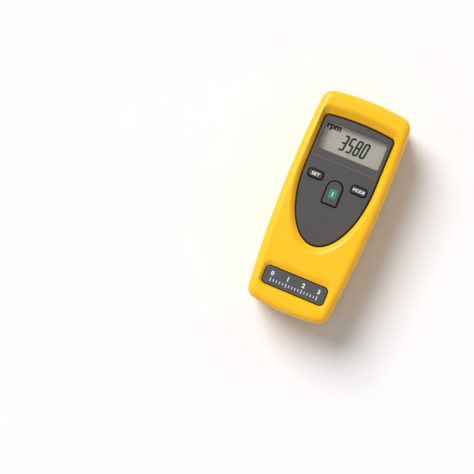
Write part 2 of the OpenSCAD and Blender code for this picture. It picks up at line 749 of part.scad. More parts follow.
crystal_r = 2.2;
crystal_l = 6.6;
crystal_h = 3.4;
crystal_x = 13;
crystal_foot = 0.5;
module crystal() color(steel) translate([chip_at.x + crystal_x, chip_at.y, board_low_z - crystal_h]) {
  for (y = [-1, 1]) translate([0, y * crystal_l / 2, 0]) cylinder(r = crystal_r, h = crystal_h);
  block([-crystal_r, -crystal_l / 2, 0], [crystal_r, crystal_l / 2, crystal_h]);
  block([-crystal_r - crystal_foot, -crystal_l / 2, crystal_h - crystal_foot],
        [crystal_r + crystal_foot, crystal_l / 2, crystal_h]);
}

capacitor_r = 2.5;
capacitor_h = 5.4;
capacitor_pitch = 7;
capacitor_gap = 1;
capacitor_y = bay_y + bay_l + bay_wall + capacitor_r + capacitor_gap;
module capacitors() color("#2B3A66") for (i = [-1 : 1])
  translate([i * capacitor_pitch, capacitor_y, board_low_z - capacitor_h])
    rotate_extrude() polygon([
      [0, 0], [capacitor_r - 0.4, 0], [capacitor_r, 0.4], [capacitor_r, capacitor_h - 1.2],
      [capacitor_r - 0.3, capacitor_h - 0.9], [capacitor_r, capacitor_h - 0.6], [capacitor_r, capacitor_h],
      [0, capacitor_h]]);

// Two columns of small chips between the microcontroller and the keys
chip_l = 2;
chip_x = 11;
chip_drop = 10;
chip_pitch = 2.6;
chips = 6;
module chip_components() color("#6E5B45") for (i = [0 : chips - 1], s = [-1, 1])
  translate([s * chip_x, chip_at.y - chip_drop - chip_pitch * i, board_low_z - chip_l / 4])
    block([-chip_l / 2, -chip_l / 4, -chip_l / 4], [chip_l / 2, chip_l / 4, chip_l / 4]);

sensor_back_y = block_y - block_l - board_t;

module board_header() color(black)
  block([-header_w / 2, sensor_back_y - header_t, board_low_z - header_h],
        [header_w / 2, sensor_back_y, board_low_z]);

module sensor_board() color(board_green) difference() {
  block([-block_half_w, sensor_back_y, part_z - block_half_h],
        [block_half_w, sensor_back_y + board_t, block_top_z]);
  for (s = [-1, 1]) along_y(optic_x + s * diode_r / 2, part_z, sensor_back_y - cut)
    cylinder(r = lead_r + stack_gap, h = board_t + 2 * cut);
}

// Black moulding that holds the laser and the receiver in line
module optics_block() color(black) difference() {
  union() {
    block([-block_half_w, block_y - block_l, part_z - block_half_h], [block_half_w, block_y, block_top_z]);
    block([-ear_x - ear_w / 2, ear_y - ear_w / 2, ear_z],
          [ear_x + ear_w / 2, ear_y + ear_w / 2, ear_z + ear_t]);
  }
  along_y(-optic_x, part_z, block_y - block_l - cut)
    cylinder(r = laser_r + optic_gap, h = block_l + 2 * cut);
  along_y(optic_x, part_z, lens_back_y) cylinder(r = lens_r + optic_gap, h = block_l);
  along_y(optic_x, part_z, block_y - block_l - cut) cylinder(r = diode_r + optic_gap, h = block_l);
  for (s = [-1, 1]) translate([s * ear_x, ear_y, ear_z - cut])
    cylinder(r = small_screw_r + thread_gap, h = ear_t + 2 * cut);
}

laser_l = block_l + laser_proud;

module laser_module() color(brass) along_y(-optic_x, part_z, block_y - block_l) difference() {
  cylinder(r = laser_r, h = laser_l);
  translate([0, 0, laser_l - laser_lens_t]) cylinder(r = laser_lens_r + optic_gap, h = laser_lens_t + cut);
}

// Lens with one flat and one bulging face, its flat face at the origin
module bulged_lens(r, t, edge) {
  bulge = t - edge;
  ball = (r * r + bulge * bulge) / (2 * bulge);
  intersection() {
    cylinder(r = r, h = t);
    translate([0, 0, t - ball]) sphere(ball);
  }
}

module laser_lens() color(glass) along_y(-optic_x, part_z, block_y + laser_proud - laser_lens_t)
  bulged_lens(laser_lens_r, laser_lens_t, laser_lens_t / 2);

module receiver_lens() color(glass) along_y(optic_x, part_z, lens_back_y)
  bulged_lens(lens_r, lens_t, lens_t / 2);

diode_y = sensor_back_y + board_t + block_top_gap;
module photodiode() color("#3A3436") {
  along_y(optic_x, part_z, diode_y) cylinder(r = diode_r, h = 2 * diode_r);
  along_y(optic_x, part_z, diode_y + 2 * diode_r) difference() {
    sphere(diode_r);
    translate([0, 0, -2 * diode_r]) cube(4 * diode_r, center = true);
  }
  for (s = [-1, 1]) along_y(optic_x + s * diode_r / 2, part_z, sensor_back_y - cut)
    cylinder(r = lead_r, h = diode_y - sensor_back_y + 2 * cut);
}

module port_window() color("#7A1E22", 0.6) along_y(0, part_z, port_y - bezel_lip_t - port_t)
  cylinder(r = port_r, h = port_t);

// Turned ring that is trapped between the shells
module port_bezel() color(black) along_y(0, part_z, 0) rotate_extrude() polygon([
  [port_r + optic_gap, flange_y - bezel_flange_t], [bezel_r + bezel_flange_w, flange_y - bezel_flange_t],
  [bezel_r + bezel_flange_w, flange_y], [bezel_r, flange_y], [bezel_r, port_y],
  [port_r - bezel_lip_w, port_y], [port_r - bezel_lip_w, port_y - bezel_lip_t],
  [port_r + optic_gap, port_y - bezel_lip_t]]);

// Cell with its nub towards +Y, from its flat end at the origin
module cell() rotate([-90, 0, 0]) rotate_extrude() polygon([
  [0, 0], [cell_d / 2 - 0.6, 0], [cell_d / 2, 0.6], [cell_d / 2, cell_l - 0.6], [cell_d / 2 - 0.6, cell_l],
  [nub_r, cell_l], [nub_r, cell_l + nub_l - 0.2], [nub_r - 0.2, cell_l + nub_l], [0, cell_l + nub_l]]);

module left_cell() color("#3C4A57") translate([-cell_x, bay_y + contact_t + spring_l, cell_z]) cell();
module right_cell() color("#3C4A57") translate([cell_x, bay_y + bay_l - contact_t - spring_l, cell_z])
  rotate(180) cell();

// Contact plate against the end of the bay, with its tail up to the board, its face at the origin
module contact_plate() {
  block([-contact_w / 2, 0, -contact_w / 2], [contact_w / 2, contact_t, contact_w / 2]);
  block([-contact_w / 6, 0, 0], [contact_w / 6, contact_t, board_low_z - cell_z]);
}

// Cone-shaped coil along +Y
module contact_spring() {
  wide = 4.2;
  narrow = 2.8;
  rings = spring_turns * spring_steps;
  length = spring_l + contact_t - 2 * wire_r;
  sides = 6;
  function at(i) = let (a = 360 * i / spring_steps, r = wide + (narrow - wide) * i / rings)
    [r * cos(a), contact_t / 2 + length * i / rings + wire_r / 2, r * sin(a)];
  function ring(i) = let (a = 360 * i / spring_steps, out = [cos(a), 0, sin(a)])
    [for (k = [0 : sides - 1]) let (b = 360 * k / sides)
      at(i) + wire_r * (cos(b) * out + sin(b) * [0, 1, 0])];
  loft([for (i = [0 : rings]) ring(i)]);
}

module spring_contact() {
  contact_plate();
  contact_spring();
}

module left_spring_contact() color(steel) translate([-cell_x, bay_y, cell_z]) spring_contact();
module right_spring_contact() color(steel) translate([cell_x, bay_y + bay_l, cell_z])
  mirror([0, 1, 0]) spring_contact();
module left_plate_contact() color(steel) translate([-cell_x, bay_y + bay_l - contact_t, cell_z])
  contact_plate();
module right_plate_contact() color(steel) translate([cell_x, bay_y, cell_z]) contact_plate();

module tripod_bush() color(brass) translate([0, bush_y, 0]) difference() {
  cylinder(r = bush_r, h = bush_l);
  translate([0, 0, -cut]) cylinder(r = bush_bore_r, h = bush_l + 2 * cut);
}

// Pan-head screw pointing up, with its seat at the origin and a cross recess in its head
module screw(r, head_r, head_h, length) difference() {
  union() {
    cylinder(r = r, h = length);
    translate([0, 0, -head_h]) cylinder(r = head_r, h = head_h);
  }
  for (turn = [0, 90]) rotate(turn)
    block([-0.6 * head_r, -0.14 * head_r, -head_h - cut], [0.6 * head_r, 0.14 * head_r, -0.45 * head_h]);
}

module case_screws() color(steel) for (p = case_boss_at) translate([p.x, p.y, screw_seat_z])
  screw(screw_r, screw_head_r, screw_head_h, part_z + screw_bite - screw_seat_z);

module board_screws() color(steel) for (p = board_boss_at) translate([p.x, p.y, board_low_z])
  screw(small_screw_r, small_head_r, small_head_h, board_t + small_bite);

module optics_screws() color(steel) for (s = [-1, 1]) translate([s * ear_x, ear_y, ear_z + ear_t])
  rotate([180, 0, 0]) screw(small_screw_r, small_head_r, small_head_h, ear_t + small_bite);

front_case();
rear_case();
battery_door();
face_panel();
display_window();
name_plate();
left_key();
right_key();
power_key();
left_plunger();
right_plunger();
power_plunger();
left_switch();
right_switch();
power_switch();
main_board();
lcd_glass();
lcd_frame();
upper_strip();
lower_strip();
microcontroller();
crystal();
capacitors();
chip_components();
board_header();
sensor_board();
optics_block();
laser_module();
laser_lens();
receiver_lens();
photodiode();
port_window();
port_bezel();
left_cell();
right_cell();
left_spring_contact();
right_spring_contact();
left_plate_contact();
right_plate_contact();
tripod_bush();
case_screws();
board_screws();
optics_screws();
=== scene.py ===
import json
import math

import bmesh
import bpy
from mathutils import Matrix, Vector

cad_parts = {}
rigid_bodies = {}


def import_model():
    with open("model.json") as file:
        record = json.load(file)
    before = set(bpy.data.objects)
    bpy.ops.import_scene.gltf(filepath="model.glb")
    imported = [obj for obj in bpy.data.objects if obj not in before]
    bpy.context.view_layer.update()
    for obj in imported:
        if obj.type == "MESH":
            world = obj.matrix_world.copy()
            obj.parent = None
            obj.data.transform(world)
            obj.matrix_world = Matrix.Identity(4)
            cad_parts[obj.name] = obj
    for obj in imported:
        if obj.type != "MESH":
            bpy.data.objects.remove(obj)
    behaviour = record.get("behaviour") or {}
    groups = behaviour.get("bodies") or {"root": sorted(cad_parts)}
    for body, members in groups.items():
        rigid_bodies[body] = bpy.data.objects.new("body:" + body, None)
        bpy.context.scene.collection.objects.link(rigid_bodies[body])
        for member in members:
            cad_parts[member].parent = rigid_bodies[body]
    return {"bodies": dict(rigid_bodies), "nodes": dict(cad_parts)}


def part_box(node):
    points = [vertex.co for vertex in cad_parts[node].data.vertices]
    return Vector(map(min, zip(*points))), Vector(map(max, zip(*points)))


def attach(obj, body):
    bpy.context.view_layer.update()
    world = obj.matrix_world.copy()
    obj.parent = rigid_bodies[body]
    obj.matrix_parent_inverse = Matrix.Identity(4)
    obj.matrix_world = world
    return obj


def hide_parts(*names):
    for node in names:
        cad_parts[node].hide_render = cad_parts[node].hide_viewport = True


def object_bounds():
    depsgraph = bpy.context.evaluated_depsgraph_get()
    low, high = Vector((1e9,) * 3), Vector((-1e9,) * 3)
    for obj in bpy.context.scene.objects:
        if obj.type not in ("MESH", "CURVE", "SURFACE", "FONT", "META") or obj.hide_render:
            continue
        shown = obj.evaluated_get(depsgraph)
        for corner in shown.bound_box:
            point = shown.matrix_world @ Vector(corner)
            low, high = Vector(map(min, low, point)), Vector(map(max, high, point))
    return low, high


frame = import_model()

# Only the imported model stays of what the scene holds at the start.
for stray in set(bpy.context.scene.objects) - set(frame["nodes"].values()) - set(frame["bodies"].values()):
    bpy.data.objects.remove(stray)
cad_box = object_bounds()


# Rear case: the lower half of the case, injection moulded in yellow plastic with a fine spark grain.
# Its rim has a lip that locates the front case, and its back holds the cell bay, the door's slide,
# four screw wells and the boss of the tripod bush.
MM = 0.001
low_corner, high_corner = (corner / MM for corner in cad_box)


def box(name):
    """A node's lowest and highest corners in millimetres."""
    low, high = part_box(name)
    return low / MM, high / MM


head_y, tail_y = high_corner.y, low_corner.y
half_w, face_z = high_corner.x, high_corner.z
part_z = box("front_case")[0].z
wall = 2.5
lean = 0.4
seam = 0.3
back_round = 5
lip_h = 1.5
lip_gap = 0.15
press_gap = 0.05
over = 1  # how far a cut runs past what it goes through
side_bow, head_bow, tail_bow, bow_y = 700, 160, 110, 14
head_corner_r, tail_corner_r, least_r = 8, 6.8, 0.2
panel_nose_l = 44.8
shoulder_y = box("face_panel")[0].y + panel_nose_l
outline_steps = {"tail": 34, "tail corner": 16, "lower side": 70, "upper side": 26, "head corner": 16,
                 "head": 26}


def meet(centre_a, r_a, centre_b, r_b, side):
    """Where two circles cross, on the left of the line between their centres if side is 1."""
    along = centre_b - centre_a
    gap = along.length
    reach = (r_a * r_a - r_b * r_b + gap * gap) / (2 * gap)
    rise = math.sqrt(r_a * r_a - reach * reach)
    unit = along / gap
    return centre_a + reach * unit + side * rise * Vector((-unit.y, unit.x))


def bearing(start, end):
    """Direction from one point to another, in degrees."""
    return math.degrees(math.atan2(end.y - start.y, end.x - start.x))


def arc(centre, r, start, stop, steps):
    """Points of an arc without its last one, angles in degrees."""
    turns = [math.radians(start + (stop - start) * i / steps) for i in range(steps)]
    return [Vector((centre[0] + r * math.cos(t), centre[1] + r * math.sin(t))) for t in turns]


def mirrored(half):
    """A closed outline from its right half, which starts and ends on the middle line."""
    return half + [Vector((-p.x, p.y)) for p in half[-2:0:-1]]


side_centre = Vector((half_w - side_bow, bow_y))
head_centre = Vector((0, head_y - head_bow))
tail_centre = Vector((0, tail_y + tail_bow))
head_corner = meet(side_centre, side_bow - head_corner_r, head_centre, head_bow - head_corner_r, 1)
tail_corner = meet(side_centre, side_bow - tail_corner_r, tail_centre, tail_bow - tail_corner_r, -1)


def case_outline(inset):
    """The case seen from the front, inset by a distance, from the tail round to the tail again."""
    shoulder = math.degrees(math.asin((shoulder_y - bow_y) / side_bow))
    turns = [-90, bearing(tail_centre, tail_corner), bearing(side_centre, tail_corner), shoulder,
             bearing(side_centre, head_corner), bearing(head_centre, head_corner), 90]
    bends = [(tail_centre, tail_bow), (tail_corner, tail_corner_r), (side_centre, side_bow),
             (side_centre, side_bow), (head_corner, head_corner_r), (head_centre, head_bow)]
    half = []
    for (centre, r), steps, start, stop in zip(bends, outline_steps.values(), turns, turns[1:]):
        half += arc(centre, max(r - inset, least_r), start, stop, steps)
    return mirrored(half + [Vector((0, head_y - inset))])


def round_rect(low, high, r, steps=8):
    """Outline of a rectangle with round corners."""
    corners = [(high[0] - r, low[1] + r), (high[0] - r, high[1] - r),
               (low[0] + r, high[1] - r), (low[0] + r, low[1] + r)]
    points = []
    for i, centre in enumerate(corners):
        start = 90 * (i - 1)
        points += arc(centre, r, start, start + 90, steps)
        points.append(arc(centre, r, start + 90, start, 1)[0])
    return points


def circle(x, y, r, steps=64):
    """Outline of a circle."""
    return arc((x, y), r, 0, 360, steps)


def at(outline, z):
    """An outline's points at a height."""
    return [(p[0], p[1], z) for p in outline]


def join(mesh, loops):
    """Four-sided faces between loops of as many vertices."""
    for lower, upper in zip(loops, loops[1:]):
        for i in range(len(lower)):
            j = (i + 1) % len(lower)
            mesh.faces.new((lower[i], lower[j], upper[j], upper[i]))


def loft(rings):
    """A closed solid through rings of points."""
    mesh = bmesh.new()
    loops = [[mesh.verts.new(p) for p in ring] for ring in rings]
    join(mesh, loops)
    mesh.faces.new(loops[0])
    mesh.faces.new(loops[-1])
    return mesh


def prism(outline, low, high):
    """An upright solid on an outline, between two heights."""
    return loft([at(outline, low), at(outline, high)])


def block(low, high):
    """A box between two corners."""
    corners = [(low[0], low[1]), (high[0], low[1]), (high[0], high[1]), (low[0], high[1])]
    return prism(corners, low[2], high[2])


def rod(x, y, r, low, high):
    """An upright round rod between two heights."""
    return prism(circle(x, y, r), low, high)


def turned(profile, turn, steps=96):
    """A closed solid of revolution from (radius, height) points, laid by a matrix. Radius 0 is a pole."""
    mesh = bmesh.new()
    loops = []
    for r, h in profile:
        count = steps if r > 0 else 1
        loops.append([mesh.verts.new(turn @ Vector((p.x, p.y, h))) for p in circle(0, 0, r, count)])
    closed = all(len(loop) > 1 for loop in loops)
    for lower, upper in zip(loops, loops[1:] + loops[:1] * closed):
        for i in range(steps):
            j = (i + 1) % steps
            turns = ((lower, i), (lower, j), (upper, j), (upper, i))
            corners = list(dict.fromkeys(loop[k % len(loop)] for loop, k in turns))
            if len(corners) > 2:
                mesh.faces.new(corners)
    return mesh


def along_y(x, y, z):
    """Lays a turned shape along +Y from a point."""
    return Matrix.Translation((x, y, z)) @ Matrix.Rotation(math.radians(-90), 4, "X")


def blank(name, mesh):
    """An object from a mesh in millimetres, with its faces turned outwards."""
    bmesh.ops.recalc_face_normals(mesh, faces=mesh.faces)
    bmesh.ops.scale(mesh, vec=(MM,) * 3, verts=mesh.verts)
    data = bpy.data.meshes.new(name)
    mesh.to_mesh(data)
    mesh.free()
    made = bpy.data.objects.new(name, data)
    bpy.context.scene.collection.objects.link(made)
    return made


def settle(piece):
    """Turns what the modifiers make of a piece into its plain mesh."""
    bpy.context.view_layer.update()
    shown = piece.evaluated_get(bpy.context.evaluated_depsgraph_get())
    data = bpy.data.meshes.new_from_object(shown)
    piece.modifiers.clear()
    old, piece.data = piece.data, data
    bpy.data.meshes.remove(old)
    data.name = piece.name
    return piece


def carve(piece, operation, tools):
    """A piece with solids cut away from it, added to it or kept of it."""
    tools = [tool if isinstance(tool, bpy.types.Object) else blank("tool", tool) for tool in tools]
    for tool in tools:
        step = piece.modifiers.new("carve", "BOOLEAN")
        step.operation = operation
        step.solver = "MANIFOLD"
        step.object = tool
    settle(piece)
    for tool in tools:
        bpy.data.objects.remove(tool)
    return piece


def dress(piece, material, body, nodes=(), sharp=32):
    """Smooths a finished piece up to its sharp edges, gives it its material and hangs it on its body."""
    piece.data.materials.clear()
    piece.data.materials.append(material)
    piece.data.shade_smooth()
    piece.data.set_sharp_from_angle(angle=math.radians(sharp))
    weigh = piece.modifiers.new("weigh", "WEIGHTED_NORMAL")
    weigh.keep_sharp = True
    settle(piece)
    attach(piece, body)
    if nodes:
        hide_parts(*nodes)
    return piece


class Flow:
    """A socket of a node tree that can be used in sums."""

    def __init__(self, tree, socket=None):
        self.tree, self.socket = tree, socket

    def node(self, kind, settings=None, inputs=None, out=0):
        """Adds a node: its settings first, then the values or links of its sockets."""
        made = self.tree.nodes.new(kind)
        for name, value in (settings or {}).items():
            setattr(made, name, value)
        for name, value in (inputs or {}).items():
            if isinstance(value, Flow):
                self.tree.links.new(value.socket, made.inputs[name])
            else:
                made.inputs[name].default_value = value
        return Flow(self.tree, made.outputs[out])

    def math(self, operation, *terms):
        """Adds a Math node on numbers and sockets."""
        return self.node("ShaderNodeMath", {"operation": operation}, dict(enumerate(terms)))

    def __add__(self, other):
        return self.math("ADD", self, other)

    def __sub__(self, other):
        return self.math("SUBTRACT", self, other)

    def __mul__(self, other):
        return self.math("MULTIPLY", self, other)

    __radd__ = __add__
    __rmul__ = __mul__

    def __rsub__(self, other):
        return self.math("SUBTRACT", other, self)

    def size(self):
        """Its distance from 0."""
        return self.math("ABSOLUTE", self)

    def ramp(self, low, high, start=0.0, end=1.0):
        """start below low, end above high and a soft step between them."""
        return self.node("ShaderNodeMapRange", {"interpolation_type": "SMOOTHSTEP"},
                         {"Value": self, "From Min": low, "From Max": high, "To Min": start, "To Max": end})

    def tint(self, low, high):
        """The colour low where this is 0 and high where it is 1."""
        return self.node("ShaderNodeMix", {"data_type": "RGBA"}, {0: self, 6: low, 7: high}, out=2)


def shade(red, green, blue):
    """A colour as it looks on screen, 0 to 255 a channel, in the linear values that a shader takes."""
    linear = [c / 12.92 if c <= 0.04045 else ((c + 0.055) / 1.055) ** 2.4
              for c in (red / 255, green / 255, blue / 255)]
    return (*linear, 1.0)


class Finish:
    """A procedural surface: a material, its shader and the place that its patterns are drawn from."""

    def __init__(self, name, **constants):
        self.material = bpy.data.materials.new(name)
        self.material.use_nodes = True
        self.tree = self.material.node_tree
        self.shader = self.tree.nodes["Principled BSDF"]
        for socket, value in constants.items():
            self.shader.inputs[socket.replace("_", " ")].default_value = value
        self.place = Flow(self.tree).node("ShaderNodeTexCoord", out="Object")

    def axis(self, name):
        """The place along X, Y or Z, in metres."""
        return self.place.node("ShaderNodeSeparateXYZ", inputs={0: self.place}, out=name)

    def noise(self, grain_mm, detail=3, roughness=0.55):
        """Soft noise from 0 to 1 whose lumps are about as large as the grain."""
        return self.place.node("ShaderNodeTexNoise", inputs={
            "Vector": self.place, "Scale": 1 / (grain_mm * MM), "Detail": detail, "Roughness": roughness})

    def feed(self, **links):
        """Links sums to the shader's sockets."""
        for socket, flow in links.items():
            self.tree.links.new(flow.socket, self.shader.inputs[socket.replace("_", " ")])
        return self

    def colour(self):
        """The base colour as it stands, for more to be laid over it."""
        return Flow(self.tree, self.shader.inputs["Base Color"].links[0].from_socket)

    def bump(self, height, strength, depth_mm):
        """A fine relief on the surface."""
        return self.feed(Normal=height.node("ShaderNodeBump", inputs={
            "Height": height, "Strength": strength, "Distance": depth_mm * MM}))


def moulded(name, colour, rough, grain_mm=0.35, relief=0.25, drift=0.06, **constants):
    """Moulded plastic or rubber: a spark grain, a slow drift of tone and an uneven gloss."""
    made = Finish(name, **constants)
    slow, fine = made.noise(14, 2), made.noise(grain_mm, 2, 0.5)
    deep = tuple(c * (1 - drift) for c in colour[:3]) + (1.0,)
    pale = tuple(min(c * (1 + drift), 1.0) for c in colour[:3]) + (1.0,)
    tone = slow * 0.75 + fine * 0.25
    made.feed(Base_Color=tone.ramp(0.3, 0.7).tint(deep, pale), Roughness=rough - 0.05 + 0.1 * fine)
    made.bump(fine, relief, 0.02)
    return made


case_plastic = moulded("case_plastic", shade(255, 189, 2), 0.34, relief=0.2, drift=0.02,
                       Specular_IOR_Level=0.42)


def quarter(steps):
    """Angles of a quarter turn in even steps, with both ends."""
    return [math.radians(90 * k / steps) for k in range(steps + 1)]


def edge_rings(z, r, inset, up, steps=14):
    """Rings of a rounded edge, from the wall to the flat, as heights and insets."""
    depth = -r if up else r
    return [(z + depth * (1 - math.sin(t)), inset + r * (1 - math.cos(t))) for t in quarter(steps)]


def case_loft(levels):
    """A solid through the case outline at given heights and insets."""
    return loft([at(case_outline(inset), z) for z, inset in levels])


def port_way(r):
    """The round cut for the laser port, from inside the case out through its end."""
    length = port_depth + 2 * over
    return turned([(0, 0), (r, 0), (r, length), (0, length)], along_y(0, head_y - port_depth, part_z))


cell_low, cell_high = box("left_cell")
cell_d, cell_z = cell_high.x - cell_low.x, (cell_low.z + cell_high.z) / 2
bay_low_y = box("right_plate_contact")[0].y
bay_high_y = box("left_plate_contact")[1].y
cell_gap = 0.4
bay_wall = 1.5
bay_half_w = cell_d + 1.5 * cell_gap
bay_top_z = cell_z + cell_d / 2 + cell_gap
door_gap = 0.25
door_low, door_high = box("battery_door")
tongue_w, tongue_t = 1.1, 0.8
door_half_w = door_high.x - tongue_w
tongue_z = door_high.z - 1.5 * tongue_t
boss_r = 3.3
screw_low, screw_high = box("case_screws")
screw_head_r, screw_head_h, screw_r = 2.7, 2, 1.45
well_gap, shank_gap = 0.5, 0.25
well_z = screw_low.z + screw_head_h
boss_x = screw_high.x - screw_head_r
boss_y = (screw_high.y - screw_head_r, screw_low.y + screw_head_r)
case_bosses = [(s * boss_x, y) for y in boss_y for s in (-1, 1)]
bush_low, bush_high = box("tripod_bush")
bush_r = (bush_high.x - bush_low.x) / 2
bush_y = (bush_high.y + bush_low.y) / 2
bush_wall = 2.2
ear_low, ear_high = box("optics_screws")
ear_head_r = 2
ear_at = [(s * (ear_high.x - ear_head_r), (ear_low.y + ear_high.y) / 2) for s in (-1, 1)]
ear_drop = 5
ear_boss_r, ear_boss_z = 2.5, part_z - ear_drop
bezel_r, bezel_gap, port_depth = 11, 0.15, 8
rear_levels = edge_rings(0, back_round, lean, False)[::-1] + [(part_z - seam, 0), (part_z, seam)]


def door_room(gap, low, high):
    """The battery door and its tongues as two solids that cross, with a gap around them."""
    return [block((-door_half_w - gap, tail_y - over, low), (door_half_w + gap, door_high.y + gap, high)),
            block((-door_high.x - gap, tail_y - over, tongue_z - gap),
                  (door_high.x + gap, door_high.y + gap, tongue_z + tongue_t + gap))]


room = blank("room", case_loft(edge_rings(wall, back_round - wall, lean + wall, False)[::-1]
                               + [(part_z + 2 * lip_h, wall)]))
carve(room, "DIFFERENCE", [
    block((-bay_half_w - bay_wall, bay_low_y - bay_wall, 0),
          (bay_half_w + bay_wall, bay_high_y + bay_wall, bay_top_z + bay_wall)),
    block((-door_high.x - wall, tail_y, 0), (door_high.x + wall, door_high.y + wall, door_high.z + bay_wall)),
    rod(0, bush_y, bush_r + bush_wall, 0, bush_high.z + bush_wall),
    *(rod(x, y, boss_r, 0, part_z) for x, y in case_bosses),
    *(rod(x, y, ear_boss_r, 0, ear_boss_z) for x, y in ear_at)])
rear_case = blank("rear_case_shell", case_loft(rear_levels))
carve(rear_case, "UNION", [prism(case_outline(wall / 2 + lip_gap), part_z - wall, part_z + lip_h)])
carve(rear_case, "DIFFERENCE", [
    room,
    block((-bay_half_w, bay_low_y, -over), (bay_half_w, bay_high_y, bay_top_z)),
    *door_room(door_gap, -over, door_high.z + door_gap),
    *(rod(x, y, screw_head_r + well_gap, -over, well_z) for x, y in case_bosses),
    *(rod(x, y, screw_r + shank_gap, -over, part_z + 2 * over) for x, y in case_bosses),
    rod(0, bush_y, bush_r + press_gap, -over, bush_high.z),
    port_way(bezel_r + bezel_gap)])
dress(rear_case, case_plastic.material, "case", ["rear_case"])


# Tripod bush: a turned brass insert, pressed into its boss in the rear case and flush with the back.
# Its bore is tapped for a camera screw, and its mouth is countersunk.
bush_bore_r, thread_depth, thread_pitch = 2.55, 0.45, 1.27
bush_edge, bush_mouth = 0.2, 0.5


def metal(name, colour, rough, brushed_mm=0.15):
    """Bare or plated metal with fine tool marks and a little tarnish."""
    made = Finish(name, Metallic=1.0)
    marks, stain = made.noise(brushed_mm, 4, 0.7), made.noise(6, 3)
    dull = tuple(c * 0.82 for c in colour[:3]) + (1.0,)
    made.feed(Base_Color=stain.ramp(0.35, 0.75).tint(colour, dull), Roughness=rough - 0.08 + 0.2 * marks)
    return made.bump(marks, 0.12, 0.01)


def bush_mesh():
    """The bush as rings from its outer wall round into the tapped bore."""
    steps, rings_per_pitch = 48, 8
    top = bush_high.z
    tapped_l = top - 2 * bush_mouth

    def ring(z, radius):
        points = []
        for i in range(steps):
            r, t = radius(i / steps), math.tau * i / steps
            points.append((r * math.cos(t), bush_y + r * math.sin(t), z))
        return points

    def bore(share, z):
        return bush_bore_r + thread_depth * abs(2 * ((z / thread_pitch + share) % 1) - 1)

    wall_lines = [(0, bush_r - bush_edge), (bush_edge, bush_r), (top - bush_edge, bush_r),
                  (top, bush_r - bush_edge)]
    mouth_r = bush_bore_r + thread_depth + bush_edge
    rings = [ring(z, lambda share, r=r: r) for z, r in wall_lines + [(top, mouth_r)]]
    count = round(tapped_l / thread_pitch * rings_per_pitch)
    for k in range(count + 1):
        z = top - bush_mouth - tapped_l * k / count
        rings.append(ring(z, lambda share, z=z: bore(share, z)))
    rings.append(ring(0, lambda share: mouth_r))
    mesh = bmesh.new()
    loops = [[mesh.verts.new(p) for p in points] for points in rings]
    join(mesh, loops + loops[:1])
    return mesh


turned_brass = metal("turned_brass", shade(222, 184, 105), 0.3)
dress(blank("tripod_bush_turned", bush_mesh()), turned_brass.material, "case", ["tripod_bush"])


# Cell contacts: nickel-plated spring steel, pushed into slots at both ends of the bay.
# Two carry a wound cone that presses on the cell's flat end, and their tails reach up to the board.
contact_t, contact_w, contact_tail_w = 0.4, 10, 3.3
spring_sizes = {"Wire radius": 0.4, "Foot radius": 4.2, "Tip radius": 2.8, "Turns": 3.5, "Length": 3.75}


def geometry_tree(name, sizes):
    """The named inputs of a new Geometry Nodes tree: its points and one number for each size."""
    tree = bpy.data.node_groups.new(name, "GeometryNodeTree")
    tree.interface.new_socket("Geometry", in_out="OUTPUT", socket_type="NodeSocketGeometry")
    tree.interface.new_socket("Points", in_out="INPUT", socket_type="NodeSocketGeometry")
    for size in sizes:
        tree.interface.new_socket(size, in_out="INPUT", socket_type="NodeSocketFloat")
    source = tree.nodes.new("NodeGroupInput")
    return {socket.name: Flow(tree, socket) for socket in source.outputs if socket.name}


def grown(name, end, sizes, points, material, **marks):
    """What a tree makes of some points in millimetres, as a plain object. Marks are numbers at the points."""
    tree = end.tree
    real = end.node("GeometryNodeRealizeInstances", inputs={0: end})
    coated = real.node("GeometryNodeSetMaterial", inputs={"Geometry": real, "Material": material})
    tree.links.new(coated.socket, tree.nodes.new("NodeGroupOutput").inputs[0])
    data = bpy.data.meshes.new(name)
    data.from_pydata([tuple(p) for p in points], [], [])
    for mark, values in marks.items():
        data.attributes.new(mark, "FLOAT", "POINT").data.foreach_set("value", values)
    made = bpy.data.objects.new(name, data)
    bpy.context.scene.collection.objects.link(made)
    nodes = made.modifiers.new("grow", "NODES")
    nodes.node_group = tree
    for item in tree.interface.items_tree:
        if item.in_out == "INPUT" and item.name in sizes:
            nodes[item.identifier] = sizes[item.name]
    settle(made)
    made.data.transform(Matrix.Scale(MM, 4))
    return made


def spring_cone(name):
    """A wire wound into a cone that stands on the origin."""
    coil = geometry_tree(name, spring_sizes)
    line = coil["Points"].node("GeometryNodeCurveSpiral", inputs={
        "Resolution": 32, "Rotations": coil["Turns"], "Start Radius": coil["Foot radius"],
        "End Radius": coil["Tip radius"], "Height": coil["Length"]})
    wire = line.node("GeometryNodeCurvePrimitiveCircle", inputs={
        "Resolution": 12, "Radius": coil["Wire radius"]})
    wound = line.node("GeometryNodeCurveToMesh", inputs={
        "Curve": line, "Profile Curve": wire, "Fill Caps": True})
    placed = wound.node("GeometryNodeInstanceOnPoints", inputs={"Points": coil["Points"], "Instance": wound})
    return grown(name, placed, spring_sizes, [(0, 0, 0)], contact_nickel.material)


def coat(finish, *nodes):
    """Gives CAD nodes that keep their shape a finish."""
    for name in nodes:
        data = frame["nodes"][name].data
        data.materials.clear()
        data.materials.append(finish.material)


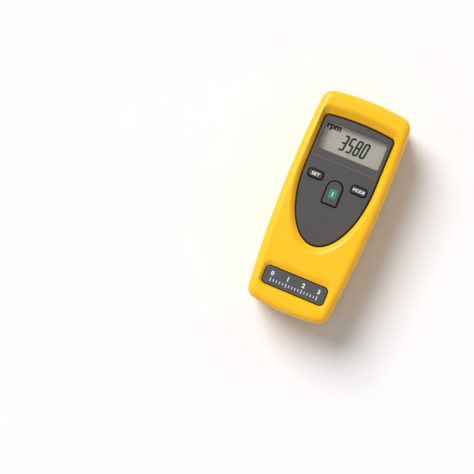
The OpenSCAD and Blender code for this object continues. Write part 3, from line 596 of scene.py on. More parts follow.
contact_nickel = metal("contact_nickel", shade(206, 207, 205), 0.28)
for name, side in (("left_spring_contact", 1), ("right_spring_contact", -1)):
    low, high = box(name)
    x, y = (low.x + high.x) / 2, low.y if side > 0 else high.y
    near, far = sorted((y, y + side * contact_t))
    contact = spring_cone(name + "_wound")
    contact.data.transform(Matrix.Translation(Vector((x, y + side * contact_t, cell_z)) * MM)
                           @ Matrix.Rotation(math.radians(-90 * side), 4, "X"))
    strips = ((contact_w / 2, cell_z - contact_w / 2, cell_z + contact_w / 2),
              (contact_tail_w / 2, cell_z, high.z))
    carve(contact, "UNION", [block((x - half, near, foot), (x + half, far, top))
                              for half, foot, top in strips])
    dress(contact, contact_nickel.material, "case", [name])
coat(contact_nickel, "left_plate_contact", "right_plate_contact")


# Optics: a black moulding holds a brass laser barrel and, beside it, the receiver's lens and photodiode
# in line behind the window. Two screws hold its ears down, and the sensor board stands at its back.
def clear(name, deep, pale, alpha, **constants):
    """Clear or tinted glass or acrylic with a faint haze."""
    made = Finish(name, Alpha=alpha, **constants)
    return made.feed(Base_Color=made.noise(6).ramp(0.3, 0.7).tint(deep, pale),
                     Roughness=0.05 + 0.04 * made.noise(2))


black_plastic = moulded("black_plastic", shade(34, 34, 36), 0.5, grain_mm=0.3, relief=0.25)
lens_glass = clear("lens_glass", shade(196, 206, 214), shade(206, 214, 220), 0.45)
dark_resin = moulded("dark_resin", shade(50, 44, 48), 0.18, grain_mm=2, relief=0.02)
zinc_steel = metal("zinc_steel", shade(196, 197, 200), 0.34)
coat(black_plastic, "optics_block")
coat(turned_brass, "laser_module")
coat(lens_glass, "laser_lens", "receiver_lens")
coat(dark_resin, "photodiode")
coat(zinc_steel, "optics_screws")


# Boards: glass laminate under green solder mask, with copper tracks that show through it as paler lines.
# The main board hangs from bosses in the front case and carries the chips on its back.
def board_finish(name, flat_axes):
    """Green solder mask over tracks and vias."""
    track_scale, track_w, track_shift = 260.0, 0.09, 0.37
    via_scale, via_in, via_out = 190.0, 0.12, 0.16
    made = Finish(name, Specular_IOR_Level=0.45)
    u, v = (made.axis(axis) for axis in flat_axes)
    flat = u.node("ShaderNodeCombineXYZ", inputs={0: u, 1: v})
    tracks = flat.node("ShaderNodeTexBrick", {"offset": track_shift}, {
        "Vector": flat, "Scale": track_scale, "Mortar Size": track_w, "Mortar": (1, 1, 1, 1),
        "Color1": (0, 0, 0, 1), "Color2": (0, 0, 0, 1)}, out="Color")
    vias = flat.node("ShaderNodeTexVoronoi", inputs={"Vector": flat, "Scale": via_scale}, out="Distance")
    ring = 1 - vias.ramp(via_in, via_out)
    mask = made.noise(8, 2).ramp(0.3, 0.7).tint(shade(22, 84, 50), shade(28, 94, 58))
    lined = tracks.tint(mask, shade(46, 122, 78))
    made.feed(Base_Color=ring.tint(lined, shade(200, 178, 110)), Roughness=0.35 - 0.1 * ring)
    return made.bump(ring, 0.2, 0.02)


coat(board_finish("main_laminate", "XY"), "main_board")
coat(board_finish("sensor_laminate", "XZ"), "sensor_board")
coat(black_plastic, "board_header", "left_plunger", "right_plunger", "power_plunger")
coat(zinc_steel, "board_screws", "crystal", "left_switch", "right_switch", "power_switch")
chip_resin = moulded("chip_resin", shade(40, 40, 42), 0.55, grain_mm=0.2)
chip_half_w, lead_edge = 5, 0.02
chip_middle = sum(box("microcontroller"), Vector()) / 2 * MM
aside = (chip_resin.axis("X") - chip_middle.x).size()
ahead = (chip_resin.axis("Y") - chip_middle.y).size()
leads = aside.math("MAXIMUM", aside, ahead).ramp(chip_half_w * MM, (chip_half_w + lead_edge) * MM)
chip_resin.feed(Base_Color=leads.tint(chip_resin.colour(), shade(200, 200, 200)), Metallic=leads)
coat(chip_resin, "microcontroller")
coat(moulded("capacitor_sleeve", shade(43, 58, 102), 0.3, grain_mm=1, relief=0.05), "capacitors")
coat(moulded("chip_ceramic", shade(128, 106, 82), 0.5, grain_mm=0.3), "chip_components")


# Display: a reflective liquid-crystal glass, pressed on two zebra strips of layered rubber by a black frame
# whose thin rim reaches up to the window. The glass glows faintly, a painted glow that lifts the shade
# in its deep recess. Its lit segments show a speed in leaning figures, with the unit above them.
lcd_low, lcd_high = box("lcd_glass")
lcd_y = (lcd_low.y + lcd_high.y) / 2
zebra_pitch = 0.4
frame_low, frame_high = box("lcd_frame")
frame_gap, frame_lip, frame_r = 0.1, 1.2, 0.2
rim_t, rim_gap = 0.2, 0.06
panel_low, panel_high = box("face_panel")
panel_z, panel_t = panel_high.z, 2
display_part_l = 27.8
crease_y = panel_high.y - display_part_l
display_tilt = math.tan(math.radians(3))
figure_w, figure_h, figure_pitch, stroke = 3.7, 10.3, 4.5, 1.25
figure_x, figure_y = -5.6, lcd_y - 0.1
figure_lean = math.tan(math.radians(8))
segment_gap = 0.1
unit_h, unit_at = 4.3, (-14.8, lcd_y + 6.1)

zebra = Finish("zebra_rubber", Roughness=0.7)
swing = zebra.axis("X") * (math.tau / (zebra_pitch * MM))
layers = swing.math("SINE", swing).ramp(-0.2, 0.2)
zebra.feed(Base_Color=layers.tint(shade(226, 178, 168), shade(60, 52, 54)))
coat(zebra, "upper_strip", "lower_strip")


def panel_surface(y):
    """Height of the panel's face, which falls away from its crease under the display."""
    return panel_z - max(0, y - crease_y) * display_tilt


def lcd_outline(grow):
    """The display glass seen from the front, grown by a distance."""
    spare = Vector((grow, grow))
    return round_rect(lcd_low.xy - spare, lcd_high.xy + spare, frame_r)


def frame_rim():
    """The frame's rim, ring by ring from its outer foot over its top to its inner foot."""
    outer, inner = lcd_outline(rim_t - frame_lip), lcd_outline(-frame_lip)
    raised = [[(p.x, p.y, panel_surface(p.y) - panel_t - rim_gap) for p in line] for line in (outer, inner)]
    mesh = bmesh.new()
    rings = [at(outer, lcd_high.z + frame_gap), *raised, at(inner, lcd_high.z + frame_gap)]
    loops = [[mesh.verts.new(p) for p in ring] for ring in rings]
    join(mesh, loops + loops[:1])
    return mesh


lcd_frame = blank("lcd_frame_moulding", prism(
    round_rect(frame_low.xy, frame_high.xy, frame_r), frame_low.z, frame_high.z))
carve(lcd_frame, "DIFFERENCE", [prism(lcd_outline(frame_gap), frame_low.z - over, lcd_high.z),
                                prism(lcd_outline(-frame_lip), frame_low.z - over, frame_high.z + over)])
carve(lcd_frame, "UNION", [frame_rim()])
dress(lcd_frame, black_plastic.material, "case", ["lcd_frame"])
# The emission is painted light: a faint glow that evens out the shade cast by the window's edges.
lcd_finish = Finish("lcd_reflector", Roughness=0.35, Specular_IOR_Level=0.3, Emission_Strength=0.11)
speckle, cloud = lcd_finish.noise(0.12, 2), lcd_finish.noise(12, 2)
lcd_tone = (speckle * 0.35 + cloud * 0.65).ramp(0.3, 0.7)
lcd_finish.feed(Base_Color=lcd_tone.tint(shade(155, 154, 141), shade(162, 161, 148)),
                Emission_Color=lcd_tone.tint(shade(246, 244, 226), shade(254, 252, 236)))
lcd_finish.bump(speckle, 0.05, 0.01)
coat(lcd_finish, "lcd_glass")


def printed(name, deep, pale):
    """A matt film of ink with a faintly uneven tone."""
    made = Finish(name, Specular_IOR_Level=0.3)
    return made.feed(Base_Color=made.noise(1).ramp(0.3, 0.7).tint(deep, pale),
                     Roughness=0.5 + 0.1 * made.noise(0.5))


segment_ink = printed("segment_ink", shade(12, 12, 11), shade(17, 17, 15))
reading = "3580"
lit = {"0": "abcdef", "3": "abcdg", "5": "acdfg", "8": "abcdefg"}
bar_places = {"a": (0, 2), "b": (1, 1), "c": (1, -1), "d": (0, -2), "e": (-1, -1), "f": (-1, 1), "g": (0, 0)}
bar_half_w, bar_half_h = (figure_w - stroke) / 2, (figure_h - stroke) / 4
bars = [(k, *bar_places[letter]) for k, figure in enumerate(reading) for letter in lit[figure]]
bar_points = [(figure_x + k * figure_pitch + x * bar_half_w, figure_y + y * bar_half_h, lcd_high.z)
              for k, x, y in bars]
segment_sizes = {"Stroke": stroke, "Thickness": 0.04, "Lying": 2 * (bar_half_w - segment_gap),
                 "Standing": 2 * (bar_half_h - segment_gap)}
figures = geometry_tree("lit_segments", segment_sizes)


def segment_bar(length):
    """A six-sided bar with pointed ends along X, drawn out from a small hexagon."""
    tip_lap = 1.2
    tip = figures["Points"].node("GeometryNodeMeshCylinder", inputs={
        "Vertices": 6, "Radius": figures["Stroke"] * (1 / math.sqrt(3)), "Depth": figures["Thickness"]})
    side = tip.node("ShaderNodeSeparateXYZ", inputs={0: tip.node("GeometryNodeInputPosition")}, out="X")
    reach = (length - figures["Stroke"] * (tip_lap / math.sqrt(3))) * 0.5
    apart = tip.node("ShaderNodeCombineXYZ", inputs={0: side.math("SIGN", side) * reach})
    return tip.node("GeometryNodeSetPosition", inputs={"Geometry": tip, "Offset": apart})


upright = figures["Points"].node(
    "GeometryNodeInputNamedAttribute", {"data_type": "FLOAT"}, {"Name": "upright"})
both = figures["Points"].node("GeometryNodeJoinGeometry")
for length, pick, turn in (("Lying", 1 - upright, 0), ("Standing", upright, math.pi / 2)):
    placed = pick.node("GeometryNodeInstanceOnPoints", inputs={
        "Points": figures["Points"], "Selection": pick, "Instance": segment_bar(figures[length]),
        "Rotation": (0, 0, turn)})
    both.tree.links.new(placed.socket, both.socket.node.inputs[0])
segments = grown("lcd_figures", both, segment_sizes, bar_points, segment_ink.material,
                 upright=[abs(x) for k, x, y in bars])
for v in segments.data.vertices:
    v.co.x += (v.co.y - figure_y * MM) * figure_lean
dress(segments, segment_ink.material, "case")


def lettering(name, words, height, middle, top_z, finish, body, bold=0.02, wide=1.0):
    """Printed words, a thin mesh as high as asked and centred on a point of a flat face."""
    curve = bpy.data.curves.new(name, "FONT")
    curve.body = words
    curve.offset = bold
    curve.extrude = 0.01
    curve.resolution_u = 4
    text = bpy.data.objects.new(name + "_line", curve)
    bpy.context.scene.collection.objects.link(text)
    bpy.context.view_layer.update()
    data = bpy.data.meshes.new_from_object(text.evaluated_get(bpy.context.evaluated_depsgraph_get()))
    bpy.data.objects.remove(text)
    mesh = bmesh.new()
    mesh.from_mesh(data)
    bpy.data.meshes.remove(data)
    bmesh.ops.remove_doubles(mesh, verts=mesh.verts, dist=1e-5)
    xs, ys = ([v.co[k] for v in mesh.verts] for k in (0, 1))
    centre_x, centre_y = (max(xs) + min(xs)) / 2, (max(ys) + min(ys)) / 2
    size = height / (max(ys) - min(ys))
    film_t, film_foot = 0.025, -0.02
    for v in mesh.verts:
        v.co = ((v.co.x - centre_x) * size * wide + middle[0], (v.co.y - centre_y) * size + middle[1],
                top_z + (film_t if v.co.z > 0 else film_foot))
    return dress(blank(name, mesh), finish.material, body)


lettering("lcd_unit", "rpm", unit_h, unit_at, lcd_high.z, segment_ink, "case", bold=0.06, wide=1.05)


# Front case: the upper half of the case, moulded in the same yellow plastic and screwed on from behind.
# Its face rolls off into the sides, and a slope with a soft crest leads down to the recessed panel.
# A shallow dish near the tail holds the name plate.
face_round = 4.8
crest_soft = 1.1
panel_half_w = panel_high.x
panel_top_y, nose_y = panel_high.y, panel_low.y
panel_corner_r, panel_top_r = 2.8, 150
panel_gap = 0.3
slope_side, slope_head, slope_nose = 2.4, 5, 4
ledge_w, slab_t = 2, 1.6
slab_z = panel_low.z - slab_t
plate_low, plate_high = box("name_plate")
plate_r, plate_gap, plate_sink = 3, 0.15, 0.1
plate_slope, plate_slope_head = 2, 3.8
nose_steps = sum(list(outline_steps.values())[:3])


def even(points, steps):
    """Points at even distances along a line of many, without its last one."""
    lengths = [0]
    for a, b in zip(points, points[1:]):
        lengths.append(lengths[-1] + (b - a).length)
    found, k = [], 0
    for i in range(steps):
        goal = lengths[-1] * i / steps
        while lengths[k + 1] < goal:
            k += 1
        share = (goal - lengths[k]) / (lengths[k + 1] - lengths[k])
        found.append(points[k].lerp(points[k + 1], share))
    return found


def shield(side, top, nose):
    """The panel's outline, grown at its sides, top and nose, point for point with the case outline."""
    a, b, r = panel_half_w + side, shoulder_y - nose_y + nose, panel_corner_r + side
    centre = Vector((0, panel_top_y + top - panel_top_r))
    corner = Vector((a - r, centre.y + math.sqrt((panel_top_r - r) ** 2 - (a - r) ** 2)))
    turn = bearing(centre, corner)
    fine_steps = 400
    curve = [Vector((a * math.sin(t), shoulder_y - b * math.cos(t))) for t in quarter(fine_steps)]
    half = even(curve, nose_steps)
    half += even([Vector((a, shoulder_y)), Vector((a, corner.y))], outline_steps["upper side"])
    half += arc(corner, r, 0, turn, outline_steps["head corner"])
    half += arc(centre, panel_top_r, turn, 90, outline_steps["head"])
    return mirrored(half + [Vector((0, panel_top_y + top))])


def soft_min(a, b, blend):
    """The lower of two heights, rounded off where they cross."""
    near = max(blend - abs(a - b), 0) / blend
    return min(a, b) - near * near * blend / 4


def rolled(depth):
    """Height of the face at a depth inside the case's leaned-in outline."""
    share = 1 - min(depth, face_round) / face_round
    return face_z - face_round * (1 - math.sqrt(1 - share * share))


def face_rings():
    """Rings from the start of the rounding, over the crest and down the slope to the panel's edge."""
    edge = case_outline(lean)
    inner = case_outline(lean + 1)
    rim = shield(slope_side, slope_head, slope_nose)
    floor = shield(panel_gap, panel_gap, panel_gap)
    roll_steps, face_steps, slope_steps = 16, 26, 12
    crest_power, past_roll, short_of_rim = 2.2, 0.5, 0.25
    columns = []
    for e, i, r, f in zip(edge, inner, rim, floor):
        inward = (i - e).normalized()
        floor_z = panel_surface(f.y)
        down = (r - f).normalized()
        steep = (face_z - floor_z) / (r - f).length
        reach = min(face_round + past_roll, (r - e).dot(inward) - short_of_rim)

        def height(p):
            return soft_min(rolled((p - e).dot(inward)), face_z + (p - r).dot(down) * steep, crest_soft)

        path = [e + inward * reach * (1 - math.cos(t)) for t in quarter(roll_steps)]
        last = path[-1]
        path += [last.lerp(r, 1 - (1 - k / face_steps) ** crest_power) for k in range(1, face_steps + 1)]
        path += [r.lerp(f, k / slope_steps) for k in range(1, slope_steps)]
        columns.append([(p.x, p.y, height(p)) for p in path] + [(f.x, f.y, floor_z)])
    return [list(ring) for ring in zip(*columns)]


ledge_outer, ledge_inner = (shield(grow, grow, grow) for grow in (panel_gap, -ledge_w))
front_case = blank("front_case_shell", loft(
    [at(case_outline(seam), part_z), at(case_outline(0), part_z + seam)]
    + face_rings()
    + [[(p.x, p.y, panel_surface(p.y) - panel_t) for p in outline] for outline in (ledge_outer, ledge_inner)]
    + [at(ledge_inner, slab_z - over)]))


def plate_outline(grow, grow_head):
    return round_rect((plate_low.x - grow, plate_low.y - grow),
                      (plate_high.x + grow, plate_high.y + grow_head), plate_r + grow, 12)


def plate_dish():
    """The cut for the name plate: a soft rim, a slope and a straight wall around the plate."""
    floor, rim = plate_outline(plate_gap, plate_gap), plate_outline(plate_slope, plate_slope_head)
    floor_z, soft, steps, past_rim = plate_high.z + plate_sink, 0.3, 10, 2
    rings = [at(floor, plate_low.z), at(floor, floor_z)]
    for k in range(1, steps + past_rim + 1):
        share = k / steps
        drop = (math.hypot(1 - share, soft) - soft) / (math.hypot(1, soft) - soft) * (1 if share < 1 else -1)
        rings.append([(*f.lerp(r, share), face_z - (face_z - floor_z) * drop) for f, r in zip(floor, rim)])
    return loft(rings)


board_low, board_high = box("board_screws")
small_head_r, small_r = 2, 1.1
board_boss_r = 2.5
board_z = box("main_board")[1].z
board_bosses = [(s * (board_high.x - small_head_r), y) for s in (-1, 1)
                for y in (board_high.y - small_head_r, board_low.y + small_head_r)]
screw_bite, board_bite = 11, 4.5
room = blank("room", case_loft([(part_z - over, wall)]
                               + edge_rings(face_z - wall, face_round - wall, lean + wall, True)))
carve(room, "DIFFERENCE", [
    prism(shield(slope_side + wall / 2, slope_head + wall / 2, slope_nose + wall / 2), slab_z, face_z),
    prism(plate_outline(plate_slope_head, plate_slope_head), plate_low.z - wall, face_z),
    *(rod(x, y, boss_r, part_z - 2 * over, face_z) for x, y in case_bosses),
    *(rod(x, y, board_boss_r, board_z, face_z) for x, y in board_bosses)])
rebate = blank("rebate", prism(case_outline(wall / 2), part_z - over, part_z + lip_h + lip_gap))
carve(rebate, "DIFFERENCE", [prism(case_outline(wall + lip_gap), part_z - 2 * over, part_z + 2 * lip_h)])
carve(front_case, "DIFFERENCE", [
    room,
    rebate,
    prism(ledge_inner, slab_z - 2 * over, slab_z + over),
    plate_dish(),
    *(rod(x, y, screw_r + press_gap, part_z - over, part_z + screw_bite) for x, y in case_bosses),
    *(rod(x, y, small_r + press_gap, board_z - over, board_z + board_bite) for x, y in board_bosses),
    port_way(bezel_r + bezel_gap)])
dress(front_case, case_plastic.material, "case", ["front_case"])


# Face panel: a matt grey moulding that lies on the ledge of the front case and is glued down there.
# It bends once below the display, so that the display part falls away towards the laser end.
# Its openings for the display and the three keys have slightly broken edges.
bend_half, crease_highlight_half, step_h = 0.5, 0.1, 0.3
panel_edge, broken_edge = 1.4, 0.2
rim_shade_from, rim_shade_to = 0.03, 0.11
panel_plastic = moulded("panel_plastic", shade(71, 69, 67), 0.55, grain_mm=0.28, relief=0.3, drift=0.05,
                        Specular_IOR_Level=0.3)
along = panel_plastic.axis("Y")
fall = along.math("MAXIMUM", along - crease_y * MM, 0.0) * display_tilt
step = along.ramp((crease_y - bend_half) * MM, (crease_y + bend_half) * MM, end=step_h * MM)
sunk = panel_z * MM - fall - step - panel_plastic.axis("Z")
# A pale line along the bend is a painted highlight, standing in for the glint on the fine step.
painted_crease_highlight = (along - crease_y * MM).size().ramp(crease_highlight_half * MM, bend_half * MM, 1, 0)
panel_face = painted_crease_highlight.tint(panel_plastic.colour(), shade(85, 83, 80))
# The panel's rim turns near black down its rounded edge: painted shade of the gap round the panel.
panel_plastic.feed(Base_Color=sunk.ramp(rim_shade_from * MM, rim_shade_to * MM).tint(panel_face, shade(18, 17, 17)))
window_low, window_high = box("display_window")
view_lap, view_r = 1.4, 0.8
window_gap, window_cover, pocket_r = 0.1, 0.9, 0.3
view_low = window_low.xy + Vector((view_lap, view_lap))
view_high = window_high.xy - Vector((view_lap, view_lap))
key_rim = 0.6
key_r, power_r = 2, 1.5
key_names = ("left_key", "right_key", "power_key")


def key_outline(name, grow):
    """Outline of a key's opening, grown by a distance. The power key's upper end is a half circle."""
    low, high = box(name)
    spare = key_rim - grow
    low, high = (low.x + spare, low.y + spare), (high.x - spare, high.y - spare)
    if name != "power_key":
        return round_rect(low, high, key_r + grow, 12)
    w, r = (high[0] - low[0]) / 2, power_r + grow
    return (arc((high[0] - r, low[1] + r), r, -90, 0, 10) + arc((0, high[1] - w), w, 0, 180, 40)
            + arc((low[0] + r, low[1] + r), r, 180, 270, 10) + [Vector((low[0] + r, low[1]))])


def panel_blank():
    """The panel before its bend, with its face at height 0."""
    mesh = bmesh.new()
    edge, broken, edge_steps = panel_edge, broken_edge, 5
    pocket_z = -window_cover
    outer = [at(shield(0, 0, 0), -panel_t)]
    for t in quarter(edge_steps):
        grow = edge * (math.cos(t) - 1)
        outer.append(at(shield(grow, grow, grow), edge * (math.sin(t) - 1)))
    spare = Vector((window_gap, window_gap))
    pocket = round_rect(window_low.xy - spare, window_high.xy + spare, pocket_r)
    holes = []
    for grow in (0, broken):
        wider = Vector((grow, grow))
        view = round_rect(view_low - wider, view_high + wider, view_r + grow)
        holes.append([view] + [key_outline(name, grow) for name in key_names])
    stacks = []
    for k, (wall_line, broken_line) in enumerate(zip(*holes)):
        rings = [at(pocket, -panel_t), at(pocket, pocket_z), at(wall_line, pocket_z)] if k == 0 else [
            at(wall_line, -panel_t)]
        stacks.append(rings + [at(wall_line, -broken), at(broken_line, 0)])
    loops = []
    for rings in [outer] + stacks:
        made = [[mesh.verts.new(p) for p in ring] for ring in rings]
        join(mesh, made)
        loops.append(made)
    for end in (0, -1):
        rims = [made[end] for made in loops]
        edges = [mesh.edges.get((a, b)) for rim in rims for a, b in zip(rim, rim[1:] + rim[:1])]
        bmesh.ops.triangle_fill(mesh, edges=edges, use_beauty=True, normal=(0, 0, 1))
    return mesh


def bent(mesh):
    """A flat mesh laid on the panel's bent surface, whose display part is a fine step lower."""
    cuts = (-1, -0.6, -0.3, 0, 0.3, 0.6, 1)
    for y in (crease_y + bend_half * cut for cut in cuts):
        bmesh.ops.bisect_plane(mesh, geom=mesh.verts[:] + mesh.edges[:] + mesh.faces[:], dist=1e-5,
                               plane_co=(0, y, 0), plane_no=(0, 1, 0))
    for v in mesh.verts:
        share = min(max((v.co.y - crease_y) / bend_half / 2 + 0.5, 0), 1)
        v.co.z -= step_h * share * share * (3 - 2 * share) * (1 + v.co.z / panel_t)
        fall = (v.co.y - crease_y) * display_tilt
        v.co.z += soft_min(panel_z, panel_z - fall, 2 * bend_half * display_tilt)
    return mesh


face_panel = blank("face_panel_moulding", bent(panel_blank()))
dress(face_panel, panel_plastic.material, "case", ["face_panel"])


# Display window: a sheet of clear acrylic in the pocket behind the panel, glued round its edge.
# It keeps dust off the display glass.
clear_sheet = clear("clear_sheet", shade(64, 66, 64), shade(72, 74, 72), 0.05, IOR=1.49)
coat(clear_sheet, "display_window")


# Keys: two dark rubber keys and one grey arch for power, each moulded with a rim that stays behind the panel.
# Their flanks are black, partly the rubber's own colour and partly painted shade of the gap round each key,
# and each presses a switch on the board below. The dark keys carry white legends,
# and the arch carries a green field with the sign for on.
key_gap, key_rim_t = 0.3, 1.2
key_edge = {"left_key": 1.0, "right_key": 1.0, "power_key": 1.1}
rim_low_z, key_top_z = (corner.z for corner in box("power_key"))
flank_low, flank_high = 0.12, 0.03


def key_finish(name, top, rough):
    """Matt rubber whose colour turns black down the flanks, partly the rubber's own black and partly painted
    shade of the gap round the key.
    """
    made = moulded(name, top, rough, grain_mm=0.25, relief=0.2, drift=0.05, Specular_IOR_Level=0.35)
    # The black down the flanks is partly the rubber's colour and partly painted shade of the gap round the
    # key.
    flank = made.axis("Z").ramp((key_top_z - flank_low) * MM, (key_top_z - flank_high) * MM)
    return made.feed(Base_Color=flank.tint(shade(16, 16, 17), made.colour()))


dark_rubber = key_finish("dark_rubber", shade(44, 43, 44), 0.5)
grey_rubber = key_finish("grey_rubber", shade(69, 67, 66), 0.55)
edge_steps = 7
for name, finish, slot in (("left_key", dark_rubber, "key_dark"), ("right_key", dark_rubber, "key_dark"),
                           ("power_key", grey_rubber, "key_grey")):
    foot, flank, r = key_outline(name, key_rim), key_outline(name, -key_gap), key_edge[name]
    rings = [at(foot, rim_low_z), at(foot, rim_low_z + key_rim_t), at(flank, rim_low_z + key_rim_t)]
    for t in quarter(edge_steps):
        rounded = key_outline(name, r * (math.cos(t) - 1) - key_gap)
        rings.append(at(rounded, key_top_z + r * (math.sin(t) - 1)))
    dress(blank(name + "_cap", loft(rings)), finish.material, name, [name])

white_print = printed("white_print", shade(226, 227, 226), shade(238, 239, 238))
green_print = printed("green_print", shade(44, 130, 101), shade(52, 140, 109))
mint_print = printed("mint_print", shade(186, 226, 206), shade(196, 234, 216))
key_centres = {name: sum(box(name), Vector()) / 2 for name in key_names}
lettering("left_legend", "SET", 2.1, key_centres["left_key"], key_top_z, white_print, "left_key", wide=1.2)
lettering("right_legend", "MODE", 2.0, key_centres["right_key"], key_top_z, white_print, "right_key")
field_x, field_drop = 0.1, 0.6
field_at = Vector((field_x, key_centres["power_key"].y - field_drop))
for name, size, r, foot, top, finish in (("power_field", (4.6, 5.4), 0.5, -0.02, 0.015, green_print),
                                         ("power_stroke", (0.6, 2.6), 0.1, 0, 0.03, mint_print)):
    half = Vector(size) / 2
    film = prism(round_rect(field_at - half, field_at + half, r), key_top_z + foot, key_top_z + top)
    dress(blank(name, film), finish.material, "power_key")


# Name plate: a thin grey plastic sheet with a rounded edge, glued into the dish near the tail.
# Its edge is painted dark: painted shade of the gap round the plate.
# It carries no name, only a plain graduated scale with numbers, printed in pale ink.
plate_edge, plate_shade_low, plate_shade_high = 1.0, 0.1, 0.02
tick_sizes = {"Pitch": 2.0, "Short": 1.5, "Long": 2.6, "Width": 0.42}
tick_count, tick_group = 16, 5
scale_drop = 2.2
scale_x = -(tick_count - 1) * tick_sizes["Pitch"] / 2
scale_y = (plate_low.y + plate_high.y) / 2 - scale_drop
number_h, number_rise = 2.8, 4.0
plate_finish = moulded("plate_finish", shade(75, 75, 77), 0.45, grain_mm=0.25, relief=0.2, drift=0.05,
                       Specular_IOR_Level=0.3)
# The plate turns near black down its rounded edge: painted shade of the gap round the plate.
plate_edge_shade = plate_finish.axis("Z").ramp(
    (plate_high.z - plate_shade_low) * MM, (plate_high.z - plate_shade_high) * MM)
plate_finish.feed(Base_Color=plate_edge_shade.tint(shade(20, 20, 21), plate_finish.colour()))
rings = [at(plate_outline(0, 0), plate_low.z)]
for t in quarter(edge_steps):
    inset = plate_edge * (math.cos(t) - 1)
    rings.append(at(plate_outline(inset, inset), plate_high.z + plate_edge * (math.sin(t) - 1)))
dress(blank("name_plate_sheet", loft(rings)), plate_finish.material, "case", ["name_plate"])

row = geometry_tree("plate_scale", tick_sizes)
index = row["Points"].node("GeometryNodeInputIndex")
between = index.math("MODULO", index, float(tick_group))
height = row["Long"] - between.math("SIGN", between) * (row["Long"] - row["Short"])
mark = row["Points"].node("GeometryNodeMeshCube", inputs={"Size": (1, 1, 0.05)})
step = row["Points"].node("ShaderNodeCombineXYZ", inputs={0: row["Pitch"]})
line = row["Points"].node("GeometryNodeMeshLine", {"mode": "OFFSET"}, {"Count": tick_count, "Offset": step})
stretch = height.node("ShaderNodeCombineXYZ", inputs={0: row["Width"], 1: height, 2: 1.0})
ticks = mark.node("GeometryNodeInstanceOnPoints", inputs={"Points": line, "Instance": mark, "Scale": stretch})
scale_marks = grown("plate_scale", ticks, tick_sizes, [(0, 0, 0)], white_print.material)
scale_marks.data.transform(Matrix.Translation(Vector((scale_x, scale_y, plate_high.z)) * MM))
dress(scale_marks, white_print.material, "case")
for k in range(0, tick_count, tick_group):
    number = k // tick_group
    number_at = (scale_x + k * tick_sizes["Pitch"], scale_y + number_rise)
    lettering(f"plate_figure_{number}", str(number), number_h, number_at, plate_high.z, white_print, "case",
              bold=0.03)


# Port bezel and window: a black ring with a flange that the two halves of the case trap between them.
# The window in it is a disc of red acrylic that passes the laser's light.
bezel_low, bezel_high = box("port_bezel")
port_low, port_high = box("port_window")
port_r = (port_high.x - port_low.x) / 2
flange_r, flange_t = (bezel_high.x - bezel_low.x) / 2, 2.2
port_lap = 0.8
lip_r, lip_t = port_r - port_lap, 1.2
flange_edge, rim_steps = 0.2, ((0, 0.4), (0.12, 0.12), (0.4, 0))
mouth_steps = ((0.5, 0), (0.1, 0.35), (0, 0.6))
ring_r, ring_l = port_r + press_gap, bezel_high.y - bezel_low.y
bezel_profile = [
    (ring_r, 0), (flange_r - flange_edge, 0), (flange_r, flange_edge), (flange_r, flange_t - flange_edge),
    (flange_r - flange_edge, flange_t), (bezel_r, flange_t),
    *((bezel_r - inset, ring_l - depth) for inset, depth in rim_steps),
    *((lip_r + grow, ring_l - depth) for grow, depth in mouth_steps),
    (lip_r, ring_l - lip_t), (ring_r, ring_l - lip_t)]
dress(blank("port_bezel_ring", turned(bezel_profile, along_y(0, bezel_low.y, part_z))),
      black_plastic.material, "case", ["port_bezel"])
red_acrylic = clear("red_acrylic", shade(126, 6, 12), shade(138, 9, 16), 0.7, IOR=1.49)
coat(red_acrylic, "port_window")


# Case screws: four zinc-plated pan-head screws with cross recesses, at the bottom of the wells in the back.
# They are driven from behind into the bosses of the front case, each stopped at its own turn.
screw_l = screw_high.z - well_z
recess_l, recess_w, recess_z = 1.75, 0.4, -0.9
head_steps = ((0.9, 0), (0.35, 0.2), (0.08, 0.6))
point_l, point_r = 1.2, 0.3


def screw_blank():
    """One screw pointing up, its head below the origin."""
    r, h = screw_head_r, screw_head_h
    profile = [(0, -h), *((r - inset, rise - h) for inset, rise in head_steps), (r, -h / 2), (r, 0),
               (screw_r, 0), (screw_r, screw_l - point_l), (point_r, screw_l), (0, screw_l)]
    one = blank("screw", turned(profile, Matrix.Identity(4), 48))
    return carve(one, "DIFFERENCE", [block((-a, -b, -h - over), (a, b, recess_z))
                                     for a, b in ((recess_l, recess_w), (recess_w, recess_l))])


screw = screw_blank()
screw.data.transform(Matrix.Scale(1 / MM, 4))
tree = geometry_tree("screw_set", ("Turn",))
shape = tree["Points"].node("GeometryNodeObjectInfo", inputs={"Object": screw}, out="Geometry")
spin = shape.node("FunctionNodeRandomValue", {"data_type": "FLOAT"}, {3: tree["Turn"], "Seed": 7}, out=1)
stopped = shape.node("ShaderNodeCombineXYZ", inputs={2: spin})
driven = shape.node("GeometryNodeInstanceOnPoints", inputs={
    "Points": tree["Points"], "Instance": shape, "Rotation": stopped})
screws = grown("case_screw_set", driven, {"Turn": math.pi / 2}, [(x, y, well_z) for x, y in case_bosses],
               zinc_steel.material)
bpy.data.objects.remove(screw)
dress(screws, zinc_steel.material, "case", ["case_screws"])


# Cells: two plain AA cells side by side, the second turned round. Each is a steel can in a printed sleeve
# that is rolled over at both ends, with a bare nub and a bare flat end.
nub_l, nub_r = 1.2, 2.6
roll_r = 0.6
foot_steps = ((2, 0.15), (1.6, 0), (0.7, 0))
crown_steps = ((0.7, 0), (1.4, 0), (1.7, -0.5))
nub_steps = ((0.3, -0.5), (0, -0.2), (0, nub_l - 0.3), (-0.3, nub_l))
sleeve_from, band_to, sleeve_to, print_soft = 1.8, 8, 49.8, 0.1


